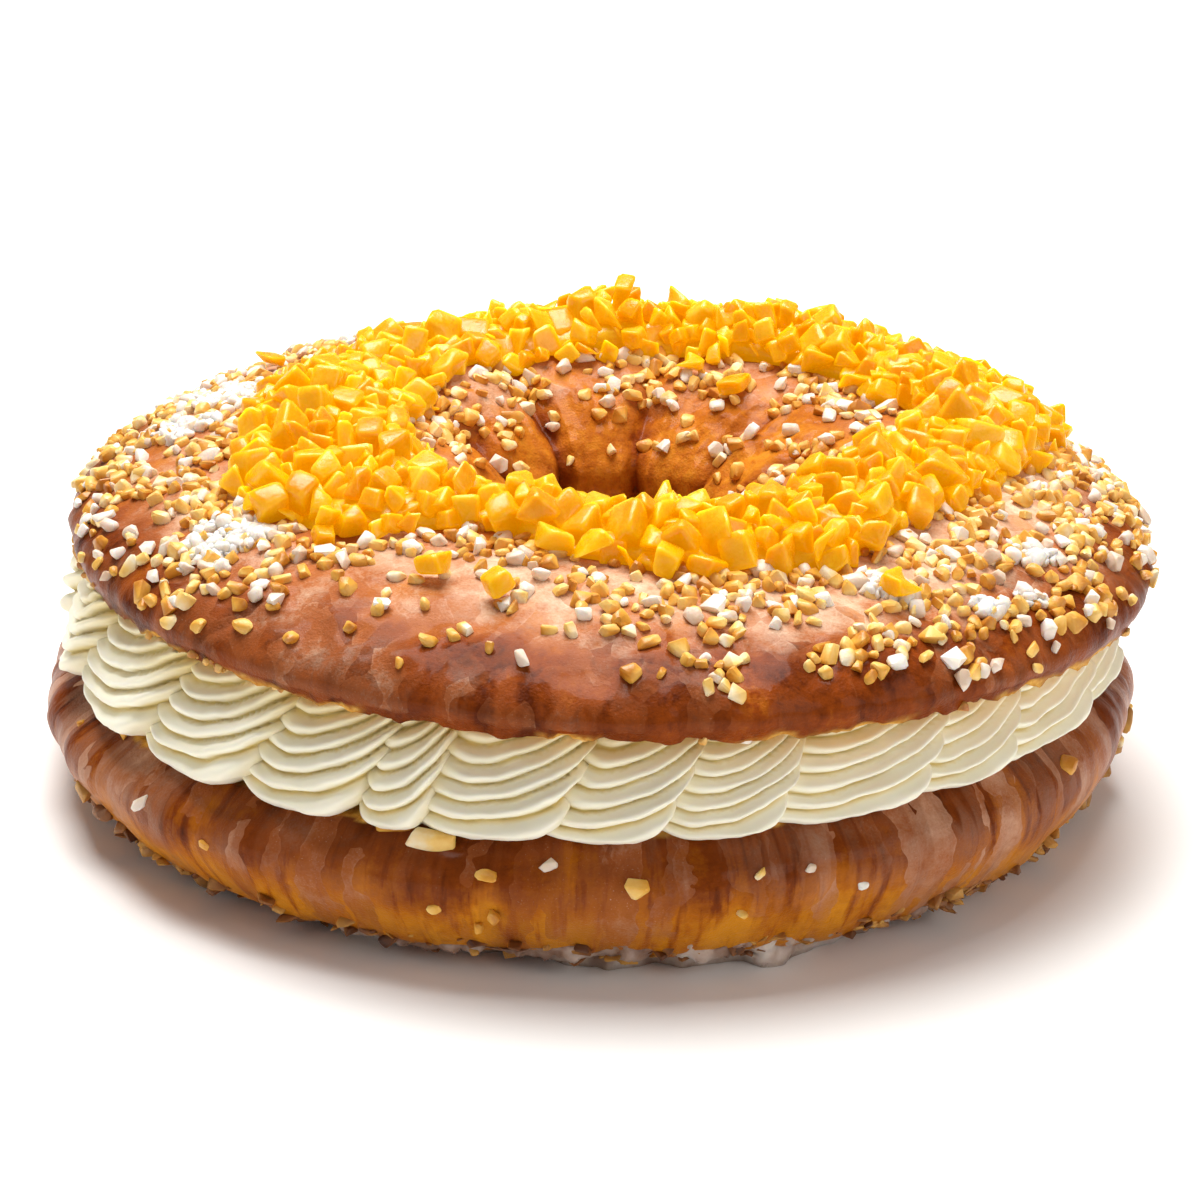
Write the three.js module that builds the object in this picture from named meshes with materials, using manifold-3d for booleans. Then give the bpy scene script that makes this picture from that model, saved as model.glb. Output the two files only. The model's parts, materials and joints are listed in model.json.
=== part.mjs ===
// King cake: a baked brioche ring, cut level into two halves and filled with piped cream.
// The upper half carries chopped almonds, pearl sugar and a ring-shaped heap of diced candied orange.
// Millimetres, +Z up. The origin is on the table, under the middle of the ring. -Y is the front.
import * as THREE from "three";
import { mergeVertices } from "three/addons/utils/BufferGeometryUtils.js";
import Module from "manifold-3d";

const wasm = await Module();
wasm.setup();

// Driving dimensions of the ring
const rimRadius = 145; // cut edge of the upper half
const holeRadius = 26; // narrowest part of the hole
const lowerCutHeight = 39; // where the knife went through, at the middle of the ring
const lowerCutSlope = 0.03; // the lower half is thicker on the right
const creamGap = 27; // from one cut face to the other, at the middle
const upperCutSlope = -0.008;
const crownRise = 30; // from the upper cut face to the top of the crust
const crownLean = 4; // the crust rises more at the back than at the front
const lowerShift = -2.5; // the halves sit a little off each other, along X
const upperShift = 3;
const clearance = 0.35; // air between pieces that lie on each other

// Lower half: foot, full belly and shoulder as [radius, share of the height], then the hole's wall
const shoulderRadius = 139;
const bellyRadius = 149;
const baseRadius = 124;
const lowerWall = [
  [baseRadius, 0],
  [bellyRadius - 11, 0.16],
  [bellyRadius - 0.5, 0.54],
  [bellyRadius - 0.5, 0.8],
  [shoulderRadius, 1],
];
const lowerHoleWall = [
  [holeRadius + 5, 1],
  [holeRadius, 0.5],
  [holeRadius + 6, 0],
];
const lowerSteps = 60;
const lowerWallPieces = 8;
const lowerHolePieces = 3;
const lowerLump = 1.1;

// Cream: a rope of overlapping shells from a star nozzle
const shellEnds = [183, 201.5, 219.5, 235, 248, 255, 268, 279, 290, 306, 318, 334, 348]; // degrees
const backShells = 14; // even ones, from the last end round the back to the first
const columnsPerShell = 6;
const ridgesPerShell = 4;
const creamEdgeRadius = 139;
const shellBulge = 7; // how far a shell stands out at its fullest
const shellWaist = 0.25; // share of that bulge left in the valley between two shells
const ridgeDepth = 1.7;
const shellLean = 0.45; // share of a shell's width that its edge leans over its height
const ridgeSweep = 0.6; // share of the height that a ridge climbs across its shell, at mid height
const lobeDroop = 1.8; // how far a shell hangs over the lower half's shoulder, but not on the left
const creamHoleRadius = 36;

// Upper half: the crust from the cut edge over the crown and down into the hole, as
// [radius, share of the rise, share of a fold's depth outwards, share of it downwards]
const crustProfile = [
  [rimRadius, 0, 0, 0],
  [rimRadius + 1.6, 0.24, 0, 0],
  [rimRadius - 7, 0.53, 0, 0],
  [rimRadius - 30, 0.85, 0, 0],
  [rimRadius - 60, 1, 0, 0],
  [rimRadius - 78, 0.97, 0, 0.25],
  [holeRadius + 20, 0.74, 0, 0.8],
  [holeRadius + 3, 0.3, 0.7, 0],
  [holeRadius + 4, 0, 0.8, 0],
];
const crustPieces = 14;
const upperSteps = 80;
const upperLump = 1.2;

// Folds that gather the dough round the hole
const foldCount = 9;
const foldDepth = 7;
const foldHalfWidth = 0.12; // radians
const deepFoldAngle = 2.07; // the deepest one, at the back

// Chopped nuts and sugar grains on the crust, and icing that ran down and set round the foot
const grainSize = 6; // longest side of a large grain
const grainSunk = 0.1; // share of its size that a grain's middle stands off the crust
const outerGrains = { count: 64, from: 0.14, to: 0.42, shift: 0.1 }; // shares of the way to the hole
const innerGrains = { count: 18, from: 0.64, to: 0.8, shift: 0.35 };
const lowerGrains = 14;
const drippings = 10;
const drippingSize = 9;

// Candied orange: a heap round the crown and a few loose pieces
const diceSide = 9.5;
const diceCount = 57;
const heapShift = 10; // the heap's ring sits right of the middle
// The heap's edges round its own centre: degrees, inner radius, outer radius
const heapEdges = [
  [-10, 63, 101],
  [5, 73, 114],
  [18, 72, 120],
  [35, 68, 117],
  [60, 64, 106],
  [85, 64, 99],
  [110, 65, 100],
  [138, 69, 104],
  [162, 67, 108],
  [185, 62, 111],
  [209, 61, 121],
  [222, 61, 118],
  [232, 61, 99],
  [240, 61, 88],
  [248, 62, 91],
  [256, 63, 96],
  [272, 63, 99],
  [284, 63, 99],
  [296, 63, 105],
  [308, 61, 96],
  [320, 58, 90],
  [338, 57, 97],
  [350, 63, 101],
  [365, 73, 114],
];
const heapDip = 0.45; // share of its height that the heap lacks where it is lowest
const heapDipAngle = 2.4; // behind, on the left
const heapDipSpread = 0.55; // radians
const coreHeight = 7;
const coreClearance = 0.9; // the core's long facets stay clear of the crust's
const coreSteps = 48;
const coreUnderside = [-1, -0.35, 0.35, 1]; // from the heap's inner edge, -1, to its outer edge, 1
const coreTop = [0.72, 0, -0.72];
const looseDice = [
  { angle: 247, radius: 111 },
  { angle: 256, radius: 115 },
  { angle: 68, radius: 60 },
  { angle: 52, radius: 55 },
  { angle: 152, radius: 112 },
  { angle: 305, radius: 120 },
];

const turn = Math.PI * 2;
const goldenTurn = 0.618034; // steps of this share of a turn spread things evenly
const lowerCut = (x) => lowerCutHeight + lowerCutSlope * x;
const upperCut = (x) => lowerCutHeight + creamGap + upperCutSlope * x;

// Seeded random numbers from 0 to 1, so that every build gives the same cake
function seeded(seed) {
  let state = seed >>> 0;
  return () => {
    state = (Math.imul(state, 1664525) + 1013904223) >>> 0;
    return state / 4294967296;
  };
}

// Slow waves round the ring, from -1 to 1: dough is never quite round
function wave(angle, shift) {
  const slow = Math.sin(2 * angle + 0.7 + shift);
  const middle = Math.sin(5 * angle + 2.1 * shift);
  const quick = Math.sin(9 * angle + 1.3 - shift);
  return 0.45 * slow + 0.35 * middle + 0.2 * quick;
}

const evenAngles = (steps) => Array.from({ length: steps }, (_, i) => (turn * i) / steps);

// A closed ring from sections of [radius, height, lean] points, each section counterclockwise
function ringGeometry(angles, sectionAt) {
  const positions = [];
  const index = [];
  const steps = angles.length;
  let count = 0;
  for (let i = 0; i < steps; i++) {
    const angle = angles[i];
    const section = sectionAt(angle, i);
    count = section.length;
    for (const [radius, height, lean = 0] of section) {
      positions.push(radius * Math.cos(angle + lean), radius * Math.sin(angle + lean), height);
    }
  }
  for (let i = 0; i < steps; i++) {
    for (let j = 0; j < count; j++) {
      const a = i * count + j;
      const b = ((i + 1) % steps) * count + j;
      const next = (j + 1) % count;
      const c = ((i + 1) % steps) * count + next;
      const d = i * count + next;
      index.push(a, b, c, a, c, d);
    }
  }
  const geometry = new THREE.BufferGeometry();
  geometry.setAttribute("position", new THREE.Float32BufferAttribute(positions, 3));
  geometry.setIndex(index);
  return geometry;
}

function toSolid(geometry) {
  const bare = geometry.clone();
  bare.deleteAttribute("normal");
  bare.deleteAttribute("uv");
  const merged = mergeVertices(bare, 1e-4);
  const vertProperties = new Float32Array(merged.attributes.position.array);
  const triVerts = new Uint32Array(merged.index.array);
  return new wasm.Manifold(new wasm.Mesh({ numProp: 3, vertProperties, triVerts }));
}

function toGeometry(solid) {
  const mesh = solid.getMesh();
  const geometry = new THREE.BufferGeometry();
  geometry.setAttribute("position", new THREE.BufferAttribute(mesh.vertProperties, 3));
  geometry.setIndex(new THREE.BufferAttribute(mesh.triVerts, 1));
  geometry.computeVertexNormals();
  return geometry;
}

// The largest body of a solid: a cut can leave loose scraps
function largestBody(solid) {
  const bodies = solid.decompose();
  return bodies.reduce((best, body) => (body.volume() > best.volume() ? body : best));
}

// Points along a smooth line through a few [radius, height] points
function smoothLine(points, pieces) {
  const curve = new THREE.SplineCurve(points.map(([radius, height]) => new THREE.Vector2(radius, height)));
  return curve.getPoints(pieces).map((point) => [point.x, point.y]);
}

// A place on a surface of the ring: its point and outward direction, from their radius and height parts
function ringPlace(angle, [radius, height], [outward, upward]) {
  return {
    point: new THREE.Vector3(radius * Math.cos(angle), radius * Math.sin(angle), height),
    normal: new THREE.Vector3(outward * Math.cos(angle), outward * Math.sin(angle), upward).normalize(),
  };
}

function lowerSection(angle) {
  const lump = lowerLump * wave(angle, 0.4);
  const top = lowerCut(shoulderRadius * Math.cos(angle));
  const holeTop = lowerCut(holeRadius * Math.cos(angle));
  const wall = lowerWall.map(([radius, share]) => [radius + (share < 1 ? lump : 0), top * share]);
  const holeWall = lowerHoleWall.map(([radius, share]) => [radius, holeTop * share]);
  return [...smoothLine(wall, lowerWallPieces), ...smoothLine(holeWall, lowerHolePieces)];
}

// Columns of the cream: each shell's own angles, how far across the shell they are and the shell's width
const lastEnd = shellEnds[shellEnds.length - 1];
const backWidth = (360 - lastEnd + shellEnds[0]) / backShells;
const backEnds = Array.from({ length: backShells - 1 }, (_, i) => lastEnd + backWidth * (i + 1));
const allEnds = [...shellEnds, ...backEnds, shellEnds[0] + 360].map(THREE.MathUtils.degToRad);
const creamColumns = allEnds.slice(0, -1).flatMap((start, shell) => {
  const width = allEnds[shell + 1] - start;
  return Array.from({ length: columnsPerShell }, (_, i) => {
    const across = i / columnsPerShell;
    return { angle: start + width * across, across, width };
  });
});

// Cream: shells lean over each other, and ridges sweep up across each one
function creamSection(angle, step) {
  const { across, width } = creamColumns[step];
  const swell = Math.sin(Math.PI * (0.1 + 0.8 * across));
  const leftward = Math.pow(Math.max(-Math.cos(angle), 0), 2);
  const x = creamEdgeRadius * Math.cos(angle);
  const low = lowerCut(x) + clearance;
  const high = upperCut(x + lowerShift - upperShift) - clearance;
  const points = [[shoulderRadius, low]];
  const rows = ridgesPerShell * 2;
  for (let row = 0; row <= rows; row++) {
    const share = row / rows;
    const climb = ridgeSweep * (across * across - 0.4) * share * (1 - share);
    const level = share + climb;
    const belly = Math.pow(Math.sin(Math.PI * (0.1 + 0.86 * level)), 0.6);
    const bulge = shellBulge * (shellWaist + (1 - shellWaist) * swell);
    const ridge = row % 2 ? ridgeDepth * swell : 0;
    const droop = lobeDroop * swell * Math.pow((1 - leftward) * (1 - share), 3);
    const lean = width * shellLean * (level - 0.5);
    points.push([creamEdgeRadius + belly * (bulge + ridge), low + (high - low) * level - droop, lean]);
  }
  const holeX = creamHoleRadius * Math.cos(angle);
  points.push([creamHoleRadius, upperCut(holeX + lowerShift - upperShift) - clearance]);
  points.push([creamHoleRadius, lowerCut(holeX) + clearance]);
  return points;
}

const foldRandom = seeded(11);
const folds = Array.from({ length: foldCount }, (_, i) => ({
  angle: deepFoldAngle + turn * ((i + (i ? 0.4 * (foldRandom() - 0.5) : 0)) / foldCount),
  depth: i ? 0.5 + 0.4 * foldRandom() : 1,
}));

// How deep the folds round the hole are at an angle, from 0 to 1
function foldAt(angle) {
  let deepest = 0;
  for (const fold of folds) {
    const off = Math.atan2(Math.sin(angle - fold.angle), Math.cos(angle - fold.angle));
    deepest = Math.max(deepest, fold.depth * (1 - Math.abs(off) / foldHalfWidth));
  }
  return deepest;
}

// The crust's line at an angle; grow moves it outwards, and folded 0 leaves the folds out
function crustLine(angle, pieces, { grow = 0, folded = 1 } = {}) {
  const lump = upperLump * wave(angle, 1.9);
  const rise = crownRise + crownLean * Math.sin(angle) + lump;
  const fold = folded * foldDepth * foldAt(angle);
  const points = crustProfile.map(([radius, share, foldOut, foldDown], i) => {
    const outside = radius > rimRadius - 10;
    const inside = radius < holeRadius + 25;
    const spread = (outside ? lump + grow : 0) - (inside ? grow : 0) + fold * foldOut;
    const foot = upperCut(radius * Math.cos(angle));
    const lift = i === 0 || i === crustProfile.length - 1 ? -grow : grow;
    return [radius + spread, foot + rise * share - fold * foldDown + lift];
  });
  return smoothLine(points, pieces);
}
const crustAt = (grow) => (angle) => crustLine(angle, crustPieces, { grow });

// A place on a line of the crust, at its piece number and a part of the way along that piece
function linePlace(angle, line, piece, part) {
  const [from, to] = [line[piece], line[piece + 1]];
  const along = [to[0] - from[0], to[1] - from[1]];
  const point = [from[0] + part * along[0], from[1] + part * along[1]];
  return ringPlace(angle, point, [along[1], -along[0]]);
}

// A place on the crust at a share of the way from the cut edge to the hole
function crustPlace(angle, share) {
  const piece = Math.floor(share * crustPieces);
  return linePlace(angle, crustLine(angle, crustPieces), piece, share * crustPieces - piece);
}

// The crust's place straight above a point of the ring's plane, past its widest part and over any fold
function crustAbove(x, y) {
  const angle = Math.atan2(y, x);
  const wanted = Math.hypot(x, y);
  const line = crustLine(angle, crustPieces, { folded: 0 });
  let piece = 2;
  while (line[piece + 1][0] > wanted) piece++;
  return linePlace(angle, line, piece, (line[piece][0] - wanted) / (line[piece][0] - line[piece + 1][0]));
}

// A chopped nut or sugar grain: a squashed, turned low solid
function grain(size, place, random) {
  const geometry = new THREE.OctahedronGeometry(size / 2, 0);
  geometry.scale(1, 0.7 + 0.2 * random(), 0.6 + 0.2 * random());
  geometry.rotateY(0.8 * (random() - 0.5));
  geometry.rotateZ(turn * random());
  const toNormal = new THREE.Quaternion().setFromUnitVectors(new THREE.Vector3(0, 0, 1), place.normal);
  geometry.applyQuaternion(toNormal);
  const middle = place.point.clone().addScaledVector(place.normal, size * grainSunk);
  return geometry.translate(middle.x, middle.y, middle.z);
}

// A cube of candied fruit with one face cut askew
function die(side, random) {
  const depth = side * (0.75 + 0.3 * random());
  const height = side * (0.65 + 0.3 * random());
  const geometry = new THREE.BoxGeometry(side, depth, height);
  const askew = 0.25 * (random() - 0.5);
  const position = geometry.attributes.position;
  for (let i = 0; i < position.count; i++) {
    const narrowed = position.getX(i) > 0 ? 0.85 : 1;
    position.setX(i, position.getX(i) + askew * position.getZ(i));
    position.setY(i, position.getY(i) * narrowed);
  }
  return geometry;
}

// The heap's inner and outer radius at an angle round its own centre
function heapBand(angle) {
  const degrees = THREE.MathUtils.euclideanModulo(THREE.MathUtils.radToDeg(angle), 360);
  const next = heapEdges.findIndex(([place]) => place > degrees);
  const [from, inner, outer] = heapEdges[next - 1];
  const [to, nextInner, nextOuter] = heapEdges[next];
  const share = (degrees - from) / (to - from);
  return [inner + share * (nextInner - inner), outer + share * (nextOuter - outer)];
}
// The heap's height at an angle, as a share of its full height
function heapRise(angle) {
  const off = Math.atan2(Math.sin(angle - heapDipAngle), Math.cos(angle - heapDipAngle));
  return 1 - heapDip * Math.exp(-Math.pow(off / heapDipSpread, 2));
}
function heapPlace(angle, across) {
  const [inner, outer] = heapBand(angle);
  const radius = (inner + outer) / 2 + (across * (outer - inner)) / 2;
  return [heapShift + radius * Math.cos(angle), radius * Math.sin(angle)];
}

// Whether a grain at a place would touch the heap or a loose piece
function isTaken({ x, y }) {
  const [inner, outer] = heapBand(Math.atan2(y, x - heapShift));
  const radius = Math.hypot(x - heapShift, y);
  if (radius > inner - diceSide && radius < outer + diceSide) return true;
  return looseDice.some((loose) => {
    const turned = THREE.MathUtils.degToRad(loose.angle);
    const gap = Math.hypot(x - loose.radius * Math.cos(turned), y - loose.radius * Math.sin(turned));
    return gap < diceSide + grainSize;
  });
}

function lowerHalf() {
  const random = seeded(5);
  let solid = toSolid(ringGeometry(evenAngles(lowerSteps), lowerSection));
  for (let i = 0; i < lowerGrains; i++) {
    const angle = turn * ((i * goldenTurn) % 1);
    const row = 2 + Math.floor(4 * random());
    const place = ringPlace(angle, lowerSection(angle)[row], [1, 0]);
    solid = solid.add(toSolid(grain(grainSize * (0.75 + 0.3 * random()), place, random)));
  }
  const table = toSolid(new THREE.BoxGeometry(rimRadius * 3, rimRadius * 3, 40).translate(0, 0, -20));
  for (let i = 0; i < drippings; i++) {
    const angle = turn * ((i + 0.6 * random()) / drippings);
    const radius = baseRadius + 2 + 2 * random();
    const drop = new THREE.IcosahedronGeometry(drippingSize * (0.7 + 0.5 * random()), 0);
    drop.scale(0.6, 1, 0.42);
    drop.rotateZ(angle);
    drop.translate(radius * Math.cos(angle), radius * Math.sin(angle), 1.5);
    solid = solid.add(toSolid(drop).subtract(table));
  }
  return toGeometry(largestBody(solid));
}

function upperHalf() {
  const random = seeded(21);
  let solid = toSolid(ringGeometry(evenAngles(upperSteps), crustAt(0)));
  for (const { count, from, to, shift } of [outerGrains, innerGrains]) {
    for (let i = 0; i < count; i++) {
      const angle = turn * ((i * goldenTurn + shift) % 1);
      const place = crustPlace(angle, from + (to - from) * ((i + 0.5) / count));
      const size = grainSize * (0.75 + 0.4 * random());
      if (isTaken(place.point)) continue;
      solid = solid.add(toSolid(grain(size, place, random)));
    }
  }
  return toGeometry(largestBody(solid));
}

// The heap's core, a low ring that follows the crust
function heapCore() {
  const core = ringGeometry(evenAngles(coreSteps), (angle) => {
    const corner = (across, lift) => {
      const [x, y] = heapPlace(angle, across);
      return [Math.hypot(x - heapShift, y), crustAbove(x, y).point.z + lift];
    };
    const underside = coreUnderside.map((across) => corner(across, coreClearance));
    const height = coreHeight * heapRise(angle);
    const top = coreTop.map((across) => corner(across, height * (1 - 0.45 * across * across)));
    return [...underside, ...top];
  });
  return toSolid(core.translate(heapShift, 0, 0));
}

function candiedOrange() {
  const random = seeded(33);
  const crust = toSolid(ringGeometry(evenAngles(upperSteps), crustAt(clearance)));
  let solid = heapCore();
  for (let i = 0; i < diceCount; i++) {
    const angle = turn * ((i * goldenTurn) % 1);
    const across = 1.8 * ((i + 0.5) / diceCount - 0.5);
    const [x, y] = heapPlace(angle, across);
    const ground = crustAbove(x, y).point.z;
    const piece = die(diceSide * (0.85 + 0.35 * random()), random);
    piece.rotateX(turn * random());
    piece.rotateY(turn * random());
    piece.rotateZ(turn * random());
    const height = coreHeight * heapRise(angle);
    piece.translate(x, y, ground + height * (0.95 - 0.4 * across * across) + 3 * random());
    solid = solid.add(toSolid(piece).subtract(crust));
  }
  return toGeometry(largestBody(solid));
}

function material(color, roughness) {
  return new THREE.MeshStandardMaterial({ color, roughness, metalness: 0 });
}
const crustBrown = material(0x9a5a2c, 0.4);
const creamWhite = material(0xf3efd6, 0.55);
const orangePeel = material(0xf6b21b, 0.3);

function named(name, geometry, look) {
  const mesh = new THREE.Mesh(geometry, look);
  mesh.name = name;
  return mesh;
}

const cake = new THREE.Group();

const bottom = new THREE.Group();
bottom.position.x = lowerShift;
bottom.add(named("lower_half", lowerHalf(), crustBrown));
const creamAngles = creamColumns.map((column) => column.angle);
bottom.add(named("cream_filling", ringGeometry(creamAngles, creamSection), creamWhite));
cake.add(bottom);

const top = new THREE.Group();
top.position.x = upperShift;
top.add(named("upper_half", upperHalf(), crustBrown));
top.add(named("candied_orange", candiedOrange(), orangePeel));
looseDice.forEach(({ angle, radius }, i) => {
  const random = seeded(50 + i);
  const turned = THREE.MathUtils.degToRad(angle);
  const place = crustAbove(radius * Math.cos(turned), radius * Math.sin(turned));
  const geometry = die(diceSide, random);
  geometry.computeBoundingBox();
  const piece = named(`candied_orange_piece_${i + 1}`, geometry, orangePeel);
  const upright = new THREE.Quaternion().setFromUnitVectors(new THREE.Vector3(0, 0, 1), place.normal);
  const spin = new THREE.Quaternion().setFromAxisAngle(new THREE.Vector3(0, 0, 1), turn * random());
  piece.quaternion.copy(upright.multiply(spin));
  piece.position.copy(place.point).addScaledVector(place.normal, clearance - geometry.boundingBox.min.z);
  top.add(piece);
});
cake.add(top);

export default cake;
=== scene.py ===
import json
import math
import bmesh
import bpy
import numpy as np
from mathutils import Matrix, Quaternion, Vector

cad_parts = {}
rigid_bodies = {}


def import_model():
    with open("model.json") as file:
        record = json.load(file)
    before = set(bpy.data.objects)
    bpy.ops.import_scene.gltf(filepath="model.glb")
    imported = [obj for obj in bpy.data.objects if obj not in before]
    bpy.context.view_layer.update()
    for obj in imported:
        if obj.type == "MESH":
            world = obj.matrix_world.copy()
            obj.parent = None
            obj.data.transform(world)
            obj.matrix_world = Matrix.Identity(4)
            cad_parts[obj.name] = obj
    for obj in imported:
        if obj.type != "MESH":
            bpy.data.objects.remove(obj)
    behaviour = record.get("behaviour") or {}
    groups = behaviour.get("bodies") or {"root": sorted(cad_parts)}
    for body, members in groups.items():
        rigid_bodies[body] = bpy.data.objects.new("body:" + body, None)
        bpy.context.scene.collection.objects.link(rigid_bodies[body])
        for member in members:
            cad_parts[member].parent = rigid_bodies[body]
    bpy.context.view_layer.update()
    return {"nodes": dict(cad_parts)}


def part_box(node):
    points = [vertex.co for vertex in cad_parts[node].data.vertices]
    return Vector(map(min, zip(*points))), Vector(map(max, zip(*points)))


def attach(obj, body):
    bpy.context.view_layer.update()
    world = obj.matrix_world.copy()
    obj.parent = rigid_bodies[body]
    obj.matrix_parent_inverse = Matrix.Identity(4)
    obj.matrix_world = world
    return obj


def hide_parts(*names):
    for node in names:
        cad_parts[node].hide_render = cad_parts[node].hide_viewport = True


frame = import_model()
print("frame loaded with", len(frame["nodes"]), "nodes")

mm = 0.001
turn = 2 * math.pi
root = bpy.context.scene.collection

# sizes of the ring in millimetres, the same as the solids'
ring = {
    "rim": 145.0,
    "hole": 26.0,
    "lowerCut": 39.0,
    "lowerSlope": 0.03,
    "creamGap": 27.0,
    "upperSlope": -0.008,
    "crownRise": 30.0,
    "crownLean": 4.0,
    "lowerShift": -2.5,
    "upperShift": 3.0,
}


def lowerCut(x):
    return ring["lowerCut"] + ring["lowerSlope"] * x


def upperCut(x):
    return ring["lowerCut"] + ring["creamGap"] + ring["upperSlope"] * x


# a plain number generator: draws from 0 to 1, in the same order every run
def seeded(seed):
    state, whole = seed, 2**32
    while True:
        state = (state * 1664525 + 1013904223) % whole
        yield state / whole


# slow waves round the ring
def wave(angle, shift):
    slow = np.sin(2 * angle + 0.7 + shift)
    middle = np.sin(5 * angle + 2.1 * shift)
    quick = np.sin(9 * angle + 1.3 - shift)
    return 0.45 * slow + 0.35 * middle + 0.2 * quick


def ease(low, high, value):
    share = np.clip((value - low) / (high - low), 0, 1)
    return share * share * (3 - 2 * share)


# smooth value noise from -1 to 1 at points in millimetres
def noise(points, size, seed):
    scaled = np.asarray(points, float) / size + 31.7 * seed
    cell = np.floor(scaled).astype(np.int64)
    part = scaled - cell
    part = part * part * (3 - 2 * part)
    primes = np.array([374761393, 668265263, 1440662683])
    total = np.zeros(cell.shape[:-1])
    for corner in range(8):
        step = np.array([corner & 1, corner >> 1 & 1, corner >> 2 & 1])
        weight = np.where(step, part, 1 - part).prod(axis=-1)
        key = ((cell + step) * primes).sum(axis=-1)
        key = (key ^ (key >> 13)) * 1274126177
        total += weight * (((key ^ (key >> 16)) & 0xFFFF) / 32767.5 - 1)
    return total


def roughNoise(points, size, seed, layers=3):
    return sum(noise(points, size / 2**i, seed + i) / 2**i for i in range(layers))


# narrow lines where a noise crosses zero
def creaseLines(value):
    return np.clip(1 - 7 * np.abs(value), 0, 1) ** 1.5


def ringAngles(columns):
    return np.arange(columns) * turn / columns


def ringPath(angle, radius, height):
    x, y = np.cos(angle) * radius + 0 * height, np.sin(angle) * radius + 0 * height
    return np.stack([x, y, height], axis=-1)


# points along a smooth line through control points, for many lines at once
def smoothLine(controls, shares):
    last = controls.shape[1] - 1
    at = np.asarray(shares) * last
    first = np.minimum(at.astype(int), last - 1)
    t = (at - first)[None, :, None]
    p0, p1, p2, p3 = (controls[:, np.clip(first + i, 0, last)] for i in (-1, 0, 1, 2))
    return 0.5 * (2 * p1 + (p2 - p0) * t + (2 * p0 - 5 * p1 + 4 * p2 - p3) * t**2
                  + (3 * p1 - p0 - 3 * p2 + p3) * t**3)


# shares that space the points of a line evenly
def evenShares(control, count):
    fine = np.linspace(0, 1, 600)
    line = smoothLine(control[None], fine)[0]
    steps = np.hypot(*np.diff(line, axis=0).T)
    length = np.concatenate([[0], np.cumsum(steps)])
    return np.interp(np.linspace(0, length[-1], count), length, fine)


# rows between two rings of points
def bridge(first, second, rows):
    share = np.linspace(0, 1, rows + 2)[1:-1][None, :, None]
    return first[:, None] * (1 - share) + second[:, None] * share


def ringPoints(angles, line, shiftX):
    radius, height = line[..., 0], line[..., 1]
    x = radius * np.cos(angles)[:, None] + shiftX
    y = radius * np.sin(angles)[:, None]
    return np.stack([x, y, height], axis=-1)


# share of the way along the baked side for each row, and which rows are on it
def bakedRows(columns, rows, baked, rest):
    share = np.full((columns, rows), float(rest))
    share[:, :baked] = np.linspace(0, 1, baked)
    return share, (np.arange(rows) < baked).astype(float)


# outward directions of a grid that closes both ways round
def gridNormals(points):
    along = np.roll(points, -1, axis=0) - np.roll(points, 1, axis=0)
    across = np.roll(points, -1, axis=1) - np.roll(points, 1, axis=1)
    normal = np.cross(along, across)
    return normal / np.maximum(np.linalg.norm(normal, axis=-1, keepdims=True), 1e-9)


def gridFaces(columns, rows):
    index = np.arange(columns * rows).reshape(columns, rows)
    beside = np.roll(index, -1, axis=0)
    quads = [index, beside, np.roll(beside, -1, axis=1), np.roll(index, -1, axis=1)]
    return np.stack(quads, axis=-1).reshape(-1, 4)


def writeMark(mesh, name, values):
    values = np.asarray(values, np.float32)
    isVector = values.ndim > 1 and values.shape[-1] == 3
    layer = mesh.attributes.new(name, "FLOAT_VECTOR" if isVector else "FLOAT", "POINT")
    layer.data.foreach_set("vector" if isVector else "value", values.ravel())


def linkPiece(name, mesh):
    piece = bpy.data.objects.new(name, mesh)
    root.objects.link(piece)
    return piece


def addPiece(name, points, faces, finish, marks):
    mesh = bpy.data.meshes.new(name)
    mesh.from_pydata(np.asarray(points).reshape(-1, 3) * mm, [], faces)
    for mark, values in marks.items():
        writeMark(mesh, mark, values)
    mesh.shade_smooth()
    mesh.materials.append(finish)
    return linkPiece(name, mesh)


# node helpers for finishes and geometry trees

def addNode(tree, kind, inputs=None, **settings):
    node = tree.nodes.new(kind)
    for name, value in settings.items():
        setattr(node, name, value)
    for key, value in (inputs or {}).items():
        if isinstance(value, bpy.types.NodeSocket):
            tree.links.new(value, node.inputs[key])
        else:
            node.inputs[key].default_value = value
    return node


def addMath(tree, operation, first, second=0.0, clamp=False):
    inputs = {0: first, 1: second}
    return addNode(tree, "ShaderNodeMath", inputs, operation=operation, use_clamp=clamp).outputs[0]


# a sum of values, each times its weight
def weigh(tree, parts, offset=0.0, clamp=False):
    total = offset
    for i, (value, weight) in enumerate(parts):
        part = value if weight == 1 else addMath(tree, "MULTIPLY", value, weight)
        total = addMath(tree, "ADD", total, part, clamp and i == len(parts) - 1)
    return total


# 0 below a level, rising to 1 as steeply as the gain says
def above(tree, value, level, gain):
    return addMath(tree, "MULTIPLY", addMath(tree, "SUBTRACT", value, level), gain, True)


def joinVectors(tree, operation, first, second):
    return addNode(tree, "ShaderNodeVectorMath", {0: first, 1: second}, operation=operation).outputs[0]


def scaleVector(tree, vector, scale):
    return addNode(tree, "ShaderNodeVectorMath", {0: vector, "Scale": scale}, operation="SCALE").outputs[0]


def addRamp(tree, factor, stops):
    node = addNode(tree, "ShaderNodeValToRGB", {"Fac": factor})
    elements = node.color_ramp.elements
    while len(elements) < len(stops):
        elements.new(0.5)
    for element, (place, colour) in zip(elements, stops):
        element.position = place
        element.color = (*colour, 1)
    return node.outputs["Color"]


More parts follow.
